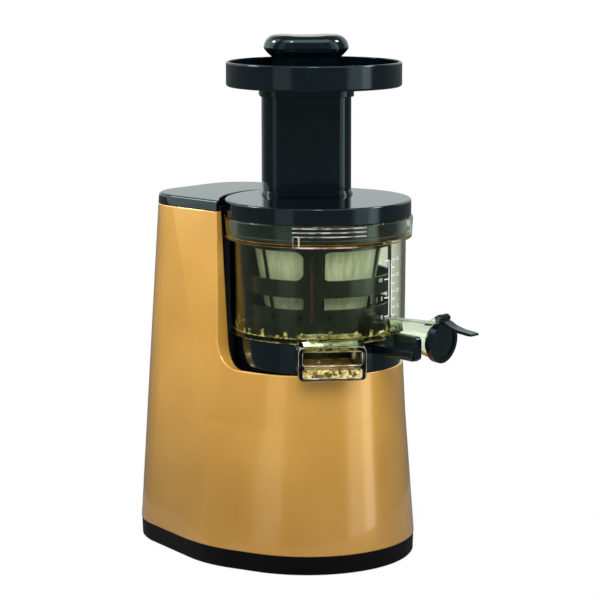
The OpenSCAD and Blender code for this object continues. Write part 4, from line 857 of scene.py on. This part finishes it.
AT_TUBE = TO_FRAME @ about(-45) @ shift(-6, 36, 0)  # middle of the feed tube, facing -Y
KNOB_W = 65.2
KNOB_D = 46.7
KNOB_TOP = 397.7
KNOB_WIDE = 387.6  # height of its widest part
TOP_INSET = 9.5  # how far its outline draws in up to its top
NECK_INSET = 6.6  # and down to the neck
NECK_TOP = 380.4
NECK_W = 52.0
NECK_D = 33.5
FLANGE_W = 66.0
FLANGE_D = 43.0
FLANGE_Z = 363.3
FLANGE_T = 3.0
SADDLE_R = 150.0
SADDLE_DEEP = 0.8


def knob_slice(bm, z, inset):
    """Corners of the knob's outline at a height, drawn in by an inset."""
    depth = KNOB_D - 2 * inset
    for x, y in oblong(KNOB_W - 2 * inset, depth, depth / 2 - 2, 18):
        bm.verts.new((x, y, z))


def pusher_knob():
    """The pusher's top: flange, neck and an oblong knob with a shallow saddle."""
    bm = bmesh.new()
    for k in range(0, 91, 5):
        a, share = math.radians(k), k / 90
        # rounded above its widest part, sloping to the neck below it
        knob_slice(bm, KNOB_WIDE + (KNOB_TOP - KNOB_WIDE) * math.sin(a), TOP_INSET * (1 - math.cos(a)))
        knob_slice(bm, KNOB_WIDE - (KNOB_WIDE - NECK_TOP) * share, NECK_INSET * share ** 1.3)
    hull = bmesh.ops.convex_hull(bm, input=bm.verts)
    bmesh.ops.delete(bm, geom=list({*hull["geom_interior"], *hull["geom_unused"]}), context="VERTS")
    bmesh.ops.dissolve_limit(bm, angle_limit=math.radians(0.5), verts=bm.verts, edges=bm.edges)
    knob = as_object(bm, "pusher_knob")
    across = shift(0, 50, KNOB_TOP + SADDLE_R - SADDLE_DEEP) @ Matrix.Rotation(QUARTER, 4, "X")
    combine(knob, cone(SADDLE_R, SADDLE_R, 100, across, 720), "DIFFERENCE")
    combine(knob, prism(oblong(FLANGE_W, FLANGE_D, 15, 12), FLANGE_T, shift(0, 0, FLANGE_Z), 0.5), "UNION")
    foot = FLANGE_Z + FLANGE_T - 0.5
    neck = prism(oblong(NECK_W, NECK_D, NECK_D / 2 - 2, 18), NECK_TOP + 2.5 - foot, shift(0, 0, foot))
    combine(knob, neck, "UNION")
    knob.data.transform(AT_TUBE)
    knob.data.materials.clear()
    knob.data.materials.append(BLACK)
    smooth(knob, 35)
    even_shading(knob)
    attach(knob, "gloss_black", "pusher", "pusher_head")


pusher_knob()


# ---------------------------------------------------------------- floor, backdrop and lamps

TABLE_R = 0.28
LAMP_AIM = Vector((0, 0, 0.2))
WALLS = 0.16  # brightness of the dim walls that gloss shows between the panels
AMBIENT = 0.62  # brightness of the even light on matt surfaces

# soft panels of light that gloss shows: azimuth, half width, foot, top, strength and soft edge,
# in degrees but for the strength
PANELS = [
    (VIEW + 180, 62, -2, 34, 0.66, 14),  # backdrop behind the juicer
    (VIEW + 62, 17, -10, 50, 0.7, 10),  # right, with a brighter core
    (VIEW + 72, 7, -10, 50, 0.8, 6),
    (VIEW - 42, 12, -10, 48, 0.34, 5),  # dim one, left of the camera
    (VIEW - 104, 20, 0, 60, 1.2, 14),  # left
    (VIEW + 10, 70, 54, 88, 1.8, 24),  # above
    (VIEW, 9, 60, 68, 20.0, 4),  # small bright lamps in front, left and right
    (VIEW - 105, 9, 34, 44, 22.0, 4),
    (VIEW + 100, 9, 40, 50, 22.0, 4),
]


def make_floor():
    """A pale round table top that keeps the juicer's soft shadow."""
    bm = bmesh.new()
    bmesh.ops.create_circle(bm, cap_ends=True, segments=96, radius=TABLE_R)
    floor = as_object(bm, "table_top")
    material, tree = new_material("white_table")
    # faint clouds, some 40 mm across
    speck = add(tree, "ShaderNodeTexNoise", {"Vector": scaled_place(tree, 40), "Scale": 1.0})
    ramp = add(tree, "ShaderNodeValToRGB", {"Fac": speck.outputs["Fac"]},
               stops=((0.0, "#F4F4F4"), (1.0, "#FBFBFB")))
    matt = add(tree, "ShaderNodeBsdfDiffuse", {"Color": ramp.outputs["Color"]})
    bright = add(tree, "ShaderNodeEmission", {"Color": linear("#FFFFFF"), "Strength": 1.0})
    path = add(tree, "ShaderNodeLightPath")
    # the shadow fades out before the table's edge
    spot = add(tree, "ShaderNodeTexCoord")
    out = add(tree, "ShaderNodeVectorMath", {0: spot.outputs["Object"]}, operation="LENGTH")
    fade = add(tree, "ShaderNodeMapRange", {
        "Value": out.outputs["Value"], "From Min": 0.6 * TABLE_R, "From Max": 0.97 * TABLE_R,
        "To Min": 0.86}, interpolation_type="SMOOTHSTEP")
    share = add(tree, "ShaderNodeMath", {
        0: path.outputs["Is Camera Ray"], 1: fade.outputs["Result"]}, operation="MULTIPLY")
    # to anything but the eye the table is as dim as a room's floor outside the lamps
    dim = add(tree, "ShaderNodeBsdfDiffuse", {"Color": linear("#7E7E7E")})
    lit = add(tree, "ShaderNodeMixShader", {
        "Fac": path.outputs["Is Camera Ray"], 1: dim.outputs["BSDF"], 2: matt.outputs["BSDF"]})
    mix = add(tree, "ShaderNodeMixShader", {
        "Fac": share.outputs[0], 1: lit.outputs["Shader"], 2: bright.outputs["Emission"]})
    surface(tree, mix.outputs["Shader"])
    floor.data.materials.append(material)


def panel(tree, way, azimuth, half_width, low, high, strength, edge):
    """Brightness of an upright soft panel of light in each direction. Angles in degrees."""
    ahead_way = add(tree, "ShaderNodeMapping", {
        "Vector": way, "Rotation": (0, 0, math.radians(-azimuth))}, vector_type="POINT")
    split = add(tree, "ShaderNodeSeparateXYZ", {"Vector": ahead_way.outputs["Vector"]})
    ahead = add(tree, "ShaderNodeMath", {0: split.outputs["Y"], 1: -1.0}, operation="MULTIPLY")
    aside = add(tree, "ShaderNodeMath", {0: split.outputs["X"], 1: ahead.outputs[0]}, operation="ARCTAN2")
    away = add(tree, "ShaderNodeMath", {0: aside.outputs[0]}, operation="ABSOLUTE")
    wide, soft, top = math.radians(half_width), math.radians(edge / 2), min(high + edge / 2, 89)
    light = strength
    # each step runs from dark to lit: at the sides, at the foot and at the top
    for value, dark, lit in (
        (away.outputs[0], wide + soft, wide - soft),
        (split.outputs["Z"], math.sin(math.radians(low - 2)), math.sin(math.radians(low + 2))),
        (split.outputs["Z"], math.sin(math.radians(top)), math.sin(math.radians(high - edge / 2))),
    ):
        step = add(tree, "ShaderNodeMapRange", {
            "Value": value, "From Min": dark, "From Max": lit}, interpolation_type="SMOOTHSTEP")
        product = add(tree, "ShaderNodeMath", {0: light, 1: step.outputs["Result"]}, operation="MULTIPLY")
        light = product.outputs[0]
    return light


def make_world():
    """White to the camera and straight through glass. Gloss shows the panels between dim walls,
    and matt surfaces get an even light."""
    world = bpy.data.worlds.new("studio")
    scene.world = world
    world.use_nodes = True
    tree = world.node_tree
    tree.nodes.clear()
    path = add(tree, "ShaderNodeLightPath")
    way = add(tree, "ShaderNodeTexCoord").outputs["Generated"]
    total = WALLS
    for sizes in PANELS:
        both = add(tree, "ShaderNodeMath", {0: total, 1: panel(tree, way, *sizes)}, operation="ADD")
        total = both.outputs[0]
    gloss = add(tree, "ShaderNodeBackground", {"Color": linear("#F0FAF8"), "Strength": total})
    white = add(tree, "ShaderNodeBackground", {"Color": linear("#FFFFFF"), "Strength": 1.0})
    ambient = add(tree, "ShaderNodeBackground", {"Color": linear("#FFFFFF"), "Strength": AMBIENT})
    # straight through glass it is white, but not for light that the glass reflected first
    straight = add(tree, "ShaderNodeMath", {0: path.outputs["Glossy Depth"], 1: 0.5}, operation="LESS_THAN")
    clear = add(tree, "ShaderNodeMath", {
        0: path.outputs["Is Transmission Ray"], 1: straight.outputs[0]}, operation="MULTIPLY")
    bent = add(tree, "ShaderNodeMath", {
        0: path.outputs["Is Transmission Ray"], 1: path.outputs["Is Glossy Ray"]}, operation="MAXIMUM")
    plain = add(tree, "ShaderNodeMath", {
        0: path.outputs["Is Camera Ray"], 1: clear.outputs[0]}, operation="MAXIMUM")
    first = add(tree, "ShaderNodeMixShader", {
        "Fac": bent.outputs[0], 1: ambient.outputs[0], 2: gloss.outputs[0]})
    second = add(tree, "ShaderNodeMixShader", {
        "Fac": plain.outputs[0], 1: first.outputs[0], 2: white.outputs[0]})
    add(tree, "ShaderNodeOutputWorld", {"Surface": second.outputs[0]})


def softbox(name, azimuth, elevation, distance, width, height, power):
    """A rectangular lamp. It shapes the matt light only: the world's panels stand for it in
    gloss."""
    data = bpy.data.lights.new(name, "AREA")
    data.shape = "RECTANGLE"
    data.size = width
    data.size_y = height
    data.energy = power
    lamp = bpy.data.objects.new(name, data)
    lamp.visible_glossy = False
    aim(lamp, LAMP_AIM, azimuth, elevation, distance)


make_floor()
make_world()
softbox("left_box", VIEW - 75, 38, distance=1.6, width=0.9, height=1.2, power=10)
softbox("right_box", VIEW + 48, 32, distance=1.6, width=0.6, height=1.4, power=6.5)
softbox("top_box", VIEW, 66, distance=1.6, width=1.2, height=0.8, power=11)
softbox("front_box", VIEW + 8, 34, distance=1.7, width=0.8, height=0.8, power=18)
